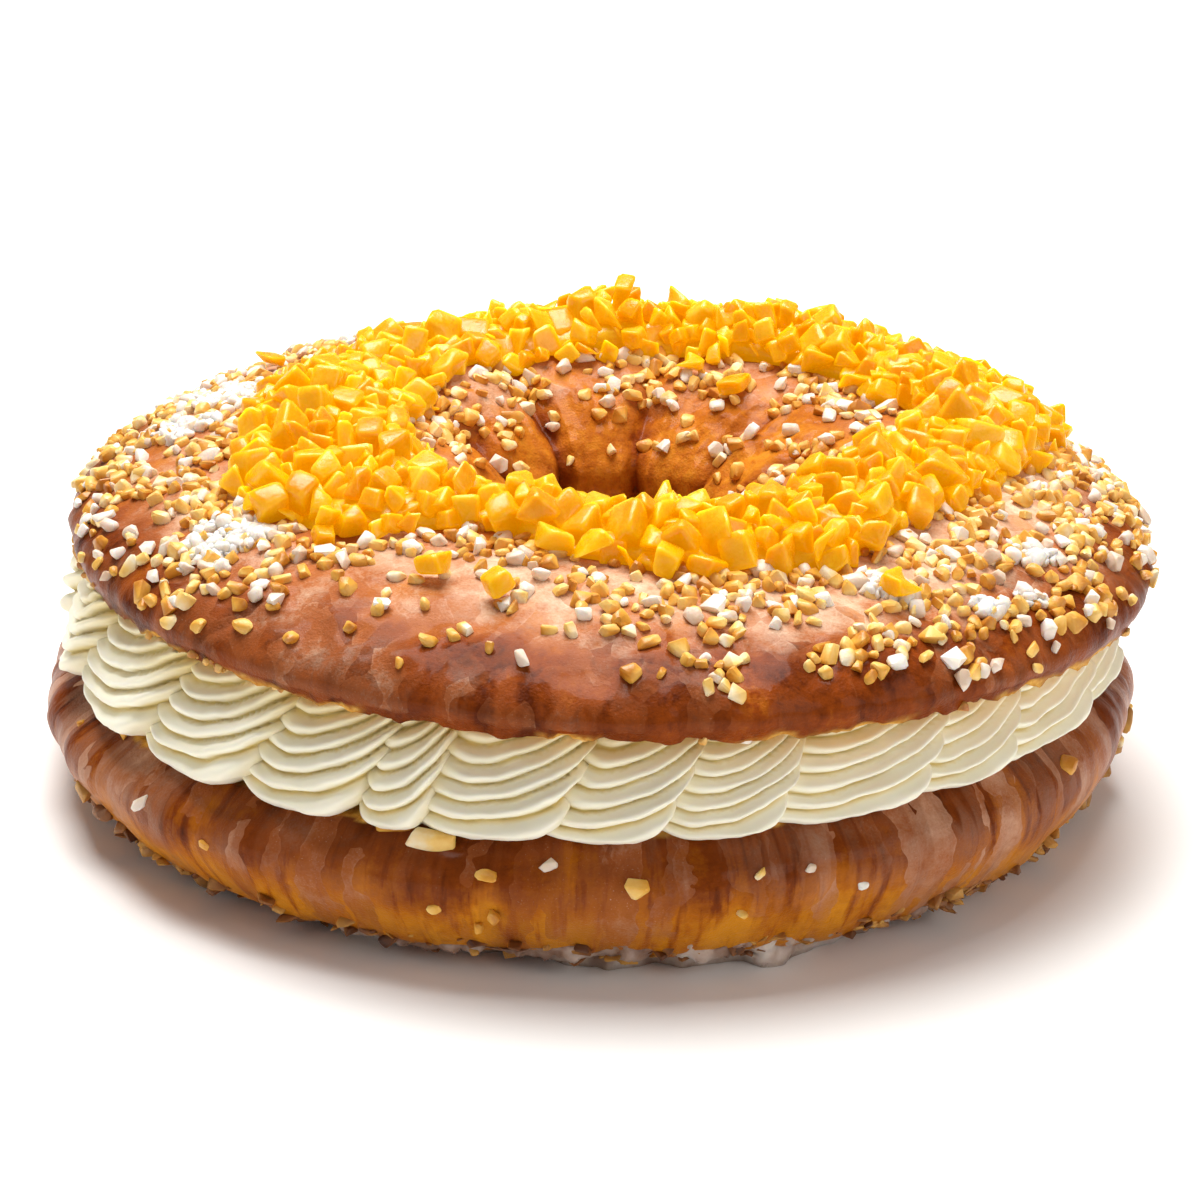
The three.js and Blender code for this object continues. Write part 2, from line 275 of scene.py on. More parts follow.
def mixColour(tree, factor, first, second):
    inputs = {0: factor, 6: first, 7: second}
    return addNode(tree, "ShaderNodeMix", inputs, data_type="RGBA").outputs[2]


def addMark(tree, name):
    return addNode(tree, "ShaderNodeAttribute", attribute_name=name).outputs["Fac"]


def addGrain(tree, place, scale, detail=4.0, roughness=0.55):
    inputs = {"Vector": place, "Scale": scale, "Detail": detail, "Roughness": roughness}
    return addNode(tree, "ShaderNodeTexNoise", inputs).outputs["Fac"]


def addBump(tree, height, strength, distance):
    inputs = {"Height": height, "Strength": strength, "Distance": distance}
    return addNode(tree, "ShaderNodeBump", inputs).outputs["Normal"]


def addRange(tree, value, low, high):
    return addNode(tree, "ShaderNodeMapRange", {"Value": value, 3: low, 4: high}).outputs[0]


def startFinish(name):
    finish = bpy.data.materials.new(name)
    finish.use_nodes = True
    tree = finish.node_tree
    shader = tree.nodes["Principled BSDF"]
    place = addNode(tree, "ShaderNodeTexCoord").outputs["Object"]
    return finish, tree, shader, place


def setShader(shader, values):
    for name, value in values.items():
        if isinstance(value, bpy.types.NodeSocket):
            shader.id_data.links.new(value, shader.inputs[name])
        else:
            shader.inputs[name].default_value = value


# finishes

# scale, detail and roughness of each grain, and the amounts that both halves share
crustGrain = {
    "onCrust": {"cloudy": (70.0, 4.0, 0.55), "speckle": (420.0, 6.0, 0.65), "fine": (1500.0, 3.0, 0.55),
                "paintedGlints": (2000.0, 1.0, 0.55)},
    "downSide": {"streaks": (150.0, 4.0, 0.55), "scorch": (330.0, 3.0, 0.55), "window": (75.0, 4.0, 0.6),
                 "drip": (120.0, 3.0, 0.5)},
    "wobbleScale": 110.0,
    "palest": -0.66,
    "thinnest": -0.88,
    # colour of the painted glints on the icing
    "paintedGlintColour": (0.85, 0.6, 0.42, 1),
}


# baked crust: marks on the mesh say how dark it is, where icing lies on it and where crumb shows,
# and streakPlace stretches the grain down the side
def crustFinish(name, look):
    finish, tree, shader, place = startFinish(name)
    streakPlace = addNode(tree, "ShaderNodeAttribute", attribute_name="streakPlace").outputs["Vector"]
    toast, glaze, cover, crumb = (addMark(tree, mark) for mark in ("toast", "glaze", "cover", "crumb"))
    cloudy, speckle, fine, paintedGlints = (addGrain(tree, place, *grain) for grain in crustGrain["onCrust"].values())
    streaks, scorch, window, drip = (
        addGrain(tree, streakPlace, *grain) for grain in crustGrain["downSide"].values())
    scorch = above(tree, scorch, 0.54, 5.0)
    window = above(tree, window, 0.53, 5.0)
    shade = weigh(tree, [(toast, 1), (cloudy, 0.5), (speckle, 0.4), (streaks, 0.5), (scorch, look["scorch"]),
                         (window, -look["window"])], crustGrain["palest"])
    crust = addRamp(tree, shade, look["crust"])

    # thin icing: patches with crisp sides, each as thick as it chanced to run, and a coat that ends in drips
    wobble = addNode(tree, "ShaderNodeTexNoise", {
        "Vector": place, "Scale": crustGrain["wobbleScale"], "Detail": 2.0}).outputs["Color"]
    runPlace = joinVectors(tree, "ADD", streakPlace, scaleVector(tree, wobble, look["wobble"]))
    runs = {"Vector": runPlace, "Scale": look["patches"]}
    cells = addNode(tree, "ShaderNodeTexVoronoi", runs).outputs["Color"]
    seam = addNode(tree, "ShaderNodeTexVoronoi", runs, feature="DISTANCE_TO_EDGE").outputs["Distance"]
    seam = weigh(tree, [(seam, -14.0)], 1.0, True)
    patch = above(tree, addMath(tree, "ADD", cells, cover), 1.0, look["crisp"])
    drip = above(tree, weigh(tree, [(drip, 1), (cover, 0.8)]), 0.9, 20.0)
    film = weigh(tree, [(patch, 0.75), (drip, 0.25)])
    thick = weigh(tree, [(glaze, 1), (speckle, 0.4), (cloudy, 1.1), (fine, 0.3),
                         (addMath(tree, "MULTIPLY", seam, film), 0.06)], crustGrain["thinnest"], True)
    milky = addMath(tree, "MULTIPLY", film, weigh(tree, [(glaze, 0.7)], 0.42, True))
    iced = mixColour(tree, milky, crust, addRamp(tree, thick, look["glaze"]))
    # painted glints: tiny specks on the icing are mixed towards a pale colour, standing in for highlights on
    # its bubbles
    paintedGlints = addMath(tree, "MULTIPLY", above(tree, paintedGlints, 0.68, 2.5), film)
    iced = mixColour(tree, paintedGlints, iced, crustGrain["paintedGlintColour"])
    crumbly = addMath(tree, "MULTIPLY", crumb, addMath(tree, "ADD", speckle, 0.55), True)
    relief = weigh(tree, [(speckle, 0.6), (fine, 0.35), (film, 0.35)])
    setShader(shader, {
        "Base Color": mixColour(tree, crumbly, iced, addRamp(tree, speckle, look["crumb"])),
        "Roughness": addRange(tree, crumbly, 0.28, 0.85),
        "Normal": addBump(tree, relief, 0.6, 0.0015),
        "Specular IOR Level": 0.03,
        "Coat Weight": 0.1,
        "Coat Roughness": 0.12,
    })
    return finish


creamLook = {
    "ridge": (0.97, 0.925, 0.76, 1),
    # the dark yellow of the painted shade
    "valley": (0.79, 0.62, 0.24, 1),
    "cloudScale": 45.0,
    "fineScale": 900.0,
    "deepen": 0.6,
}


def creamFinish():
    finish, tree, shader, place = startFinish("cream")
    cloudy = addGrain(tree, place, creamLook["cloudScale"])
    fine = addGrain(tree, place, creamLook["fineScale"])
    cloudier = addMath(tree, "ADD", cloudy, creamLook["deepen"])
    # painted shade: the cream is tinted towards dark yellow where the shade mark says
    deep = addMath(tree, "MULTIPLY", addMark(tree, "valley"), cloudier, True)
    setShader(shader, {
        "Base Color": mixColour(tree, deep, creamLook["ridge"], creamLook["valley"]),
        "Roughness": addRange(tree, cloudy, 0.42, 0.58),
        "Normal": addBump(tree, fine, 0.12, 0.0006),
        "Specular IOR Level": 0.3,
        "Subsurface Weight": 0.2,
        "Subsurface Radius": (1.0, 0.8, 0.4),
        "Subsurface Scale": 0.0014,
    })
    return finish


orangeLook = {
    "stops": [(0.05, (0.53, 0.20, 0.0)), (0.35, (0.57, 0.29, 0.0)), (0.65, (0.60, 0.37, 0.002)),
              (0.95, (0.70, 0.49, 0.05))],
    "frost": (0.70, 0.50, 0.07, 1),
    "frostShare": 0.45,
    "pulpScale": 190.0,
    "fibreScale": 700.0,
    "frostScale": 130.0,
    "deepest": -0.48,
}


def orangeFinish():
    finish, tree, shader, place = startFinish("candied orange")
    pulp = addGrain(tree, place, orangeLook["pulpScale"], 5.0)
    fibre = addGrain(tree, place, orangeLook["fibreScale"])
    # the corner mark adds painted glow along the dice's edges and corners
    tone = weigh(tree, [(addMark(tree, "tone"), 0.7), (pulp, 0.7), (addMark(tree, "corner"), 0.4)],
                 orangeLook["deepest"])
    frost = above(tree, addGrain(tree, place, orangeLook["frostScale"], 5.0, 0.65), 0.52, 5.0)
    frost = addMath(tree, "MULTIPLY", frost, orangeLook["frostShare"])
    setShader(shader, {
        "Base Color": mixColour(tree, frost, addRamp(tree, tone, orangeLook["stops"]), orangeLook["frost"]),
        "Roughness": addRange(tree, fibre, 0.14, 0.4),
        "Normal": addBump(tree, addMath(tree, "ADD", pulp, fibre), 0.22, 0.0012),
        "Specular IOR Level": 0.25,
        "Subsurface Weight": 1.0,
        "Subsurface Radius": (1.0, 0.85, 0.25),
        "Subsurface Scale": 0.006,
        # painted glow: the emission lights every die evenly, standing in for light that passes through the
        # fruit and fills the gaps between dice
        "Emission Color": (1.0, 0.42, 0.0, 1),
        "Emission Strength": 0.32,
        "Coat Weight": 0.2,
        "Coat Roughness": 0.08,
    })
    return finish


# one look for each kind of grain: colours from dark to pale, roughness and how far light goes in
grainLooks = {
    "almond": {
        "stops": [(0.05, (0.56, 0.21, 0.012)), (0.3, (0.80, 0.40, 0.045)), (0.6, (0.91, 0.59, 0.16)),
                  (0.95, (0.95, 0.83, 0.62))],
        "roughness": 0.35, "glow": 0.15},
    "sugar": {
        "stops": [(0.1, (0.70, 0.52, 0.38)), (0.5, (0.86, 0.76, 0.66)), (0.9, (0.93, 0.88, 0.82))],
        "roughness": 0.35, "glow": 0.3},
    "icing": {
        "stops": [(0.1, (0.74, 0.58, 0.47)), (0.5, (0.88, 0.80, 0.72)), (0.9, (0.93, 0.89, 0.84))],
        "roughness": 0.3, "glow": 0.35},
    "foot icing": {
        # its darkest stops are painted shade between the lobes
        "stops": [(0.1, (0.10, 0.034, 0.012)), (0.3, (0.27, 0.15, 0.10)), (0.6, (0.52, 0.39, 0.32)),
                  (0.95, (0.80, 0.71, 0.65))],
        "roughness": 0.2, "glow": 0.3},
    "crumb": {
        "stops": [(0.0, (0.07, 0.02, 0.006)), (0.4, (0.27, 0.095, 0.016)), (0.8, (0.58, 0.29, 0.05))],
        "roughness": 0.5, "glow": 0.1},
    "golden crumb": {
        "stops": [(0.1, (0.40, 0.13, 0.015)), (0.5, (0.68, 0.34, 0.06)), (0.95, (0.86, 0.60, 0.24))],
        "roughness": 0.5, "glow": 0.1},
}


# toned piece by piece, with patches, and darker on the skin side
def grainFinish(name):
    look = grainLooks[name]
    finish, tree, shader, place = startFinish(name)
    patch = addGrain(tree, place, 260.0)
    fine = addGrain(tree, place, 1600.0, 3.0)
    tone = weigh(tree, [(addMark(tree, "tone"), 0.65), (patch, 0.6), (addMark(tree, "skin"), -0.35)])
    setShader(shader, {
        "Base Color": addRamp(tree, tone, look["stops"]),
        "Roughness": addRange(tree, patch, look["roughness"], look["roughness"] + 0.2),
        "Normal": addBump(tree, fine, 0.3, 0.0005),
        "Subsurface Weight": look["glow"],
        "Subsurface Radius": (1.0, 0.6, 0.3),
        "Subsurface Scale": 0.0025,
        "Coat Weight": 0.15,
        "Coat Roughness": 0.2,
    })
    return finish


# lower half

lowerCrust = {
    "columns": 720,
    "wallRows": 64,
    "cutRows": 12,
    "holeRows": 12,
    "baseRows": 10,
    "shoulder": 139.0,
    "belly": 149.0,
    "base": 123.0,
    "wall": [(11.0, 0.16), (0.5, 0.54), (0.5, 0.8)],  # radius below the belly's, share of the height
    "hole": [(5.0, 1), (0.0, 0.5), (6.0, 0)],  # radius beyond the hole's, share of the height
    "lump": 1.1,
    "lumpShift": 0.4,
    "streakRadius": 144.0,
    "streakHeight": 0.16,  # squeezes heights, so that streaks run down the wall
    # size in millimetres and seed of each noise
    "streak": (9.0, 3),
    "dents": (16.0, 5),
    "crease": (21.0, 37),
    "creasedParts": (40.0, 38),
    "icingDepth": (34.0, 29),
    "icingRipple": (9.0, 30),
    "icingRuns": (26.0, 31),
    "rimEdge": (3.0, 8),
    "rimCrumb": (15.0, 27),
    "depths": {"dents": 0.7, "streak": 0.5, "crease": 0.7},
    # how brown: everywhere, then bands by amount, start and end up the wall, and how far dents shift them
    "toast": 0.14,
    # the last band darkens the foot: baked colour, and partly painted shade under the belly
    "toastBands": [(0.46, 0.46, 0.8, 0.1), (0.16, 0.86, 0.97, 0.05), (0.5, 0.22, 0.05, 0.03)],
    "glaze": {"all": 0.5, "sides": 0.2, "uneven": 0.25, "ripple": 0.08, "most": 0.85},
    "cover": {"all": 0.36, "sides": 0.12, "high": 0.14, "runs": 0.22},
    # where each begins and is full: away from the middle in millimetres, or by share up the wall
    "sides": (50, 125),
    "highPart": (0.3, 0.6),
    "aboveFoot": (0.04, 0.2),
    "rimBand": (0.975, 0.995),
    "look": {
        "crust": [(0.05, (0.66, 0.25, 0.014)), (0.3, (0.46, 0.13, 0.006)), (0.6, (0.21, 0.04, 0.003)),
                  (0.95, (0.08, 0.014, 0.002))],
        "glaze": [(0.1, (0.22, 0.042, 0.006)), (0.5, (0.36, 0.105, 0.032)), (0.95, (0.60, 0.33, 0.21))],
        "patches": 150.0,
        "crisp": 3.6,
        "scorch": 0.36,
        "window": 0.46,
        "wobble": 0.006,
        "crumb": [(0.3, (0.58, 0.24, 0.02)), (0.7, (0.84, 0.50, 0.12))],
    },
}


def makeLowerHalf():
    size = lowerCrust
    angles = ringAngles(size["columns"])
    cos = np.cos(angles)
    lump = size["lump"] * wave(angles, size["lumpShift"])
    top = lowerCut(size["shoulder"] * cos)
    holeTop = lowerCut(ring["hole"] * cos)
    bulge = [(size["belly"] - less, share, 1) for less, share in size["wall"]]
    wallShape = [(size["base"], 0, 1), *bulge, (size["shoulder"], 1, 0)]
    wall = np.stack([np.stack([r + lump * k, top * s], -1) for r, s, k in wallShape], axis=1)
    holeShape = [(ring["hole"] + more, share) for more, share in size["hole"]]
    hole = np.stack([np.stack([r + 0 * cos, holeTop * s], -1) for r, s in holeShape], axis=1)
    wallLine = smoothLine(wall, evenShares(wall[0], size["wallRows"]))
    holeLine = smoothLine(hole, evenShares(hole[0], size["holeRows"]))
    cut = bridge(wallLine[:, -1], holeLine[:, 0], size["cutRows"])
    base = bridge(holeLine[:, -1], wallLine[:, 0], size["baseRows"])
    line = np.concatenate([wallLine, cut, holeLine, base], axis=1)
    points = ringPoints(angles, line, ring["lowerShift"])
    share, onWall = bakedRows(*line.shape[:2], size["wallRows"], 0)

    # dents and streaks of the wall, faded out at its two ends
    around = ringPath(angles[:, None], size["streakRadius"], line[..., 1] * size["streakHeight"])
    streak = roughNoise(around, *size["streak"])
    dents = roughNoise(points, *size["dents"])
    creased = ease(-0.2, 0.4, noise(points, *size["creasedParts"]))
    crease = creaseLines(noise(around, *size["crease"])) * creased
    fade = onWall * ease(0.0, 0.12, share) * ease(1.0, 0.94, share)
    depth = size["depths"]
    push = fade * (depth["dents"] * dents + depth["streak"] * streak - depth["crease"] * crease)
    points = points + gridNormals(points) * push[..., None]

    # marks for the finish: baked colour with some painted shade at the foot, thickness and reach of the
    # icing, and bare crumb
    toast = size["toast"]
    for amount, start, end, shift in size["toastBands"]:
        toast = toast + amount * ease(start, end, share + shift * dents)
    sides = ease(*size["sides"], np.abs(points[..., 0]))
    thick, reach = size["glaze"], size["cover"]
    glaze = thick["all"] + thick["sides"] * sides + thick["uneven"] * noise(points, *size["icingDepth"])
    glaze = glaze + thick["ripple"] * noise(points, *size["icingRipple"])
    glaze = np.clip(glaze, 0, thick["most"])
    cover = reach["all"] + reach["sides"] * sides + reach["high"] * ease(*size["highPart"], share)
    cover = cover + reach["runs"] * noise(points, *size["icingRuns"])
    cover = onWall * np.clip(cover, 0, 1) * ease(*size["aboveFoot"], share)
    rim = onWall * ease(*size["rimBand"], share + 0.02 * noise(points, *size["rimEdge"]))
    rim = rim * ease(-0.2, 0.5, noise(points, *size["rimCrumb"]))
    crumb = np.maximum(rim, 1 - onWall)
    marks = {"toast": toast, "glaze": glaze, "cover": cover, "crumb": crumb, "streakPlace": around * mm}
    finish = crustFinish("lower crust", size["look"])
    piece = addPiece("lower_brioche", points, gridFaces(*line.shape[:2]), finish, marks)
    print("lower half:", len(piece.data.polygons), "faces")
    return piece


# upper half

upperCrust = {
    "columns": 760,
    "rows": 112,
    "cutRows": 12,
    "lump": 1.2,
    "lumpShift": 1.9,
    "foldCount": 9,
    "foldDepth": 7.0,
    "foldHalfWidth": 0.13,
    "foldSeed": 11,
    "deepFold": 2.07,
    # measured from the rim or the hole: how far, share of the rise, and how much of the lump,
    # of a fold outward and of a fold downward each point takes
    "profile": [("rim", 0, 0, 1, 0, 0), ("rim", 1.6, 0.24, 1, 0, 0), ("rim", -7, 0.53, 1, 0, 0),
                ("rim", -30, 0.85, 0, 0, 0), ("rim", -60, 1, 0, 0, 0), ("rim", -78, 0.97, 0, 0, 0.25),
                ("hole", 20, 0.74, 0, 0, 0.8), ("hole", 3, 0.3, 0, 0.7, 0), ("hole", 4, 0, 0, 0.8, 0)],
    "streakHeight": 16.0,
    "throatRadius": 62.0,
    "throatHeight": 45.0,
    # size in millimetres and seed of each noise
    "streak": (10.0, 13),
    "blister": (11.0, 17),
    "gather": (11.0, 43),
    "crease": (24.0, 37),
    "creasedParts": (45.0, 38),
    "pits": (7.0, 47),
    "ragged": (4.0, 21),
    "icingRough": (24.0, 19),
    "rimEdge": (3.5, 23),
    "rimCrumb": (14.0, 25),
    "depths": {"blister": 0.6, "pits": 0.9, "streak": 0.8, "crease": 0.9, "gather": 0.8, "ragged": 1.3},
    # fold and crease: painted shade, darker deep in the hole's folds and along the creases
    "toast": {"all": 0.3, "rim": 0.42, "inner": -0.06, "blister": 0.06, "fold": 0.5, "crease": 0.25},
    # top: the crown's icing is thickest and palest, real icing with a painted sheen where the top light would
    # reflect
    "glaze": {"outside": 0.36, "top": 0.35, "frost": 0.08, "left": -0.2, "right": -0.06, "uneven": 0.05,
              "unevenTop": 0.09, "inside": 0.34, "nearHeap": 0.24, "unevenInside": 0.12, "most": 0.9},
    "cover": {"outside": 0.5, "top": 0.7, "left": 0.14, "inside": 0.16, "nearHeap": 0.7, "uneven": 0.2,
              "most": 1.3},
    "look": {
        "crust": [(0.05, (0.68, 0.25, 0.018)), (0.3, (0.50, 0.14, 0.010)), (0.6, (0.27, 0.05, 0.004)),
                  (0.95, (0.10, 0.016, 0.002))],
        "glaze": [(0.1, (0.30, 0.070, 0.013)), (0.5, (0.46, 0.155, 0.058)), (0.95, (0.88, 0.64, 0.45))],
        "patches": 140.0,
        "crisp": 1.6,
        "scorch": 0.2,
        "window": 0.42,
        "wobble": 0.004,
        "crumb": [(0.3, (0.56, 0.22, 0.02)), (0.7, (0.84, 0.50, 0.12))],
    },
}


# how deep a fold is at each angle, the first being the deepest
def foldAt(angles):
    size = upperCrust
    draw = seeded(size["foldSeed"])
    deepest = np.zeros_like(angles)
    for i in range(size["foldCount"]):
        jitter = 0.4 * (next(draw) - 0.5) if i else 0
        depth = 0.5 + 0.4 * next(draw) if i else 1
        middle = size["deepFold"] + turn * (i + jitter) / size["foldCount"]
        off = np.abs(np.arctan2(np.sin(angles - middle), np.cos(angles - middle)))
        deepest = np.maximum(deepest, depth * np.maximum(1 - off / size["foldHalfWidth"], 0) ** 1.25)
    return deepest


def crustControls(angles):
    size = upperCrust
    lump = size["lump"] * wave(angles, size["lumpShift"])
    rise = ring["crownRise"] + ring["crownLean"] * np.sin(angles) + lump
    fold = size["foldDepth"] * foldAt(angles)
    controls = []
    for start, more, share, lumpy, foldOut, foldDown in size["profile"]:
        radius = ring[start] + more
        height = upperCut(radius * np.cos(angles)) + rise * share - fold * foldDown
        controls.append(np.stack([radius + lump * lumpy + fold * foldOut, height], axis=-1))
    return np.stack(controls, axis=1)


# marks for the finish: baked colour with painted shade in the folds and creases, thickness and reach of the
# icing, and bare crumb
def upperMarks(points, share, onCrust, fold, grain):
    size = upperCrust
    x, y = points[..., 0] - ring["upperShift"], points[..., 1]
    radius, away, outside = np.hypot(x, y), offHeap(x, y), share < 0.5
    streak, blister, crease = grain["streak"], grain["blister"], grain["crease"]
    brown, thick, reach = size["toast"], size["glaze"], size["cover"]
    toast = brown["all"] + brown["rim"] * ease(120, 138, radius + 4 * streak)
    toast = toast + brown["inner"] * ease(0.6, 0.76, share) + brown["blister"] * blister
    # painted shade: darker in the deep folds of the hole and along the creases
    toast = toast + brown["fold"] * fold * ease(0.66, 0.84, share) + brown["crease"] * crease
    crown = ease(142, 116, radius + 6 * streak)
    near = ease(30, 6, away + 5 * blister) * (1 - fold)
    rough = roughNoise(points, *size["icingRough"])
    frosted = thick["frost"] * ease(0.72, 0.92, np.abs(x) / np.maximum(radius, 1))
    # the crown's thick, pale icing is real icing and partly a painted sheen where the top light would reflect
    top = thick["top"] + frosted + thick["left"] * ease(-10, -70, x) + thick["right"] * ease(60, 110, x)
    outer = thick["outside"] + top * crown + (thick["uneven"] + thick["unevenTop"] * crown) * rough
    inner = thick["inside"] + thick["nearHeap"] * near + thick["unevenInside"] * rough
    covered = reach["outside"] + reach["top"] * crown + reach["left"] * ease(-20, -90, x)
    covered = np.where(outside, covered, reach["inside"] + reach["nearHeap"] * near) + reach["uneven"] * rough
    rim = onCrust * ease(0.016, 0.004, share + 0.01 * noise(points, *size["rimEdge"]))
    rim = rim * ease(-0.3, 0.4, noise(points, *size["rimCrumb"]))
    return {
        "toast": toast,
        "glaze": np.clip(np.where(outside, outer, inner), 0, thick["most"]),
        "cover": np.clip(covered, 0, reach["most"]) * ease(0.005, 0.03, share) * onCrust,
        "crumb": np.maximum(rim, 1 - onCrust),
    }


def makeUpperHalf():
    size = upperCrust
    angles = ringAngles(size["columns"])
    controls = crustControls(angles)
    crust = smoothLine(controls, evenShares(controls[0], size["rows"]))
    line = np.concatenate([crust, bridge(crust[:, -1], crust[:, 0], size["cutRows"])], axis=1)
    points = ringPoints(angles, line, ring["upperShift"])
    share, onCrust = bakedRows(*line.shape[:2], size["rows"], 1)

    # wrinkles that run down the side, blisters, and pits and small gathers towards the hole
    lengthwise = np.where(share < 0.5, share * size["streakHeight"], line[..., 1])
    around = np.stack([points[..., 0], points[..., 1], lengthwise], axis=-1)
    throat = ringPath(angles[:, None], size["throatRadius"], share * size["throatHeight"])
    wallOnly = ease(0.45, 0.15, share)
    creased = ease(-0.3, 0.3, noise(points, *size["creasedParts"]))
    crease = creaseLines(noise(around, *size["crease"])) * creased
    grain = {
        "blister": roughNoise(points, *size["blister"]),
        "pits": roughNoise(points, *size["pits"]) * ease(0.6, 0.75, share),
        "streak": roughNoise(around, *size["streak"]),
        "crease": crease * wallOnly,
        "gather": roughNoise(throat, *size["gather"]) * ease(0.6, 0.8, share),
    }
    depth = size["depths"]
    wrinkles = depth["streak"] * grain["streak"] * wallOnly - depth["crease"] * grain["crease"]
    push = wrinkles + sum(depth[kind] * grain[kind] for kind in ("blister", "pits", "gather"))
    fade = onCrust * ease(0.0, 0.05, share) * ease(1.0, 0.95, share)
    points = points + gridNormals(points) * (fade * push)[..., None]
    points[..., 2] += depth["ragged"] * ease(0.03, 0.0, share) * onCrust * roughNoise(points, *size["ragged"])
    marks = upperMarks(points, share, onCrust, foldAt(angles)[:, None], grain)
    marks["streakPlace"] = around * mm
    finish = crustFinish("upper crust", size["look"])
    piece = addPiece("upper_brioche", points, gridFaces(*line.shape[:2]), finish, marks)
    print("upper half:", len(piece.data.polygons), "faces")
    return piece, points, share, onCrust


# cream: a few shells are modelled, and a tree pipes them round the ring

shell = {
    "ends": [183, 201.5, 219.5, 235, 248, 255, 268, 279, 290, 306, 318, 334, 348],  # degrees round the ring
    "backCount": 14,
    "even": 30,
    "kinds": 7,
    "seed": 19,
    "edge": 139.0,
    "height": 27.0,
    # share of the height, radius
    "outline": [(0.0, 135.0), (0.05, 140.0), (0.14, 142.6), (0.32, 142.4), (0.6, 139.6), (1.0, 134.5)],
    "along": (-0.25, 1.12),  # from under the shell before to past the lip
    "lobe": 5.5,
    "lobeGrow": 6.0,
    "ridge": 4.3,
    "ridgeGrow": 2.0,
    "ridgeDepth": 0.8,
    "deepest": 4.2,
    "crest": 0.64,
    "lip": 3.0,
    "tuck": 5.0,
    "endDrop": 9.0,
    "droop": 3.0,
    "columns": 40,
    "rows": 72,
    "back": 122.0,
    "gap": 0.3,
    "leftRise": 2.0,
    "ripple": 2.2,
    "rippleScale": 95.0,
}


# ridges start narrow under the shell before, sag, then climb and widen towards the lip
def shellFront(random):
    size = shell
    u = np.linspace(*size["along"], size["columns"])[:, None]
    w = np.linspace(0.0, 1.0, size["rows"])[None, :] ** 1.1
    lean = random.uniform(0.35, 0.6)
    sag = size["droop"] * random.uniform(0.8, 1.2) * np.sin(np.pi * np.clip((u + 0.08) / 1.12, 0, 1)) ** 0.8
    lift = w * size["height"] - sag * (1 - w)
    climb = np.clip(u, 0, 1.1) ** 2.2
    lobe = size["lobe"] * random.uniform(0.9, 1.15) + size["lobeGrow"] * climb
    ridgePitch = size["ridge"] * random.uniform(0.92, 1.1) + size["ridgeGrow"] * climb
    up = lift + sag + 1.2
    phase = np.where(up < lobe, up / lobe, 1 + (up - lobe) / ridgePitch)
    saw = phase - np.floor(phase)
    under, over = saw / size["crest"], (1 - saw) / (1 - size["crest"])
    ridge = np.sin(turn / 4 * np.minimum(under, over)) ** 0.9
    body = np.interp(w, *zip(*size["outline"]))
    depth = np.minimum(size["ridgeDepth"] * np.where(up < lobe, lobe, ridgePitch), size["deepest"])
    depth = depth * (0.35 + 0.65 * ease(-0.15, 0.2, u)) * ease(0.0, 0.06, w)
    swell = size["lip"] * ease(0.3, 1.0, u) - size["tuck"] * ease(0.3, -0.2, u)
    past = np.clip((u - 0.9 - 0.08 * ridge) / 0.16, 0, 1)
    end = np.sqrt(np.clip(1 - past**2, 0, 1))
    radius = body + (swell + depth * (ridge - 0.55)) * end - size["endDrop"] * (1 - end)
    angle = turn / size["even"] * (u - 0.5 + lean * (w - 0.5))
    # painted shade: darker yellow in the grooves and under each ridge, where a shell starts under the one
    # before, where the lip falls away and along the top under the crust
    crevice = np.maximum(ease(0.45, 0.0, under), ease(0.3, 0.0, over))
    valley = np.maximum(crevice, 0.8 * ease(0.12, -0.12, u)) + 0.6 * (1 - end) + 0.55 * ease(0.58, 1.0, w)
    return np.stack([radius * np.cos(angle), radius * np.sin(angle), lift], axis=-1), np.clip(valley, 0, 1)


# the sheet's edge runs back into the filling, where a flat face closes it
def shellMesh(random):
    front, valley = shellFront(random)
    columns, rows = front.shape[:2]
    index = np.arange(columns * rows).reshape(columns, rows)
    quads = np.stack([index[:-1, :-1], index[1:, :-1], index[1:, 1:], index[:-1, 1:]], axis=-1).reshape(-1, 4)
    loop = np.concatenate([index[:, 0], index[-1, 1:], index[-2::-1, -1], index[0, -2:0:-1]])
    flatFront = front.reshape(-1, 3)
    back = flatFront[loop]
    back[:, :2] *= (shell["back"] / np.hypot(back[:, 0], back[:, 1]))[:, None]
    backIndex = len(flatFront) + np.arange(len(loop))
    walls = np.stack([loop, backIndex, np.roll(backIndex, -1), np.roll(loop, -1)], axis=-1)
    faces = [*quads.tolist(), *walls.tolist(), backIndex[::-1].tolist()]
    # the back and its walls take full painted shade
    return np.concatenate([flatFront, back]), faces, np.concatenate([valley.ravel(), np.ones(len(loop))])


# the inputs of a tree by name, each with its kind of socket
def makeTree(name, **sockets):
    tree = bpy.data.node_groups.new(name, "GeometryNodeTree")
    tree.is_modifier = True
    tree.interface.new_socket(name="Geometry", in_out="OUTPUT", socket_type="NodeSocketGeometry")
    names = {}
    for label, kind in {"Geometry": "Geometry", **sockets, "Finish": "Material"}.items():
        socket = tree.interface.new_socket(name=label, in_out="INPUT", socket_type=f"NodeSocket{kind}")
        names[label] = socket.identifier
    given = tree.nodes.new("NodeGroupInput").outputs
    return tree, names, given


def endTree(tree, geometry, finish):
    whole = addNode(tree, "GeometryNodeRealizeInstances", {"Geometry": geometry}).outputs[0]
    painted = addNode(tree, "GeometryNodeSetMaterial", {"Geometry": whole, "Material": finish}).outputs[0]
    addNode(tree, "NodeGroupOutput", {"Geometry": painted})


def readMark(tree, name):
    return addNode(tree, "GeometryNodeInputNamedAttribute", {"Name": name}, data_type="FLOAT").outputs[0]


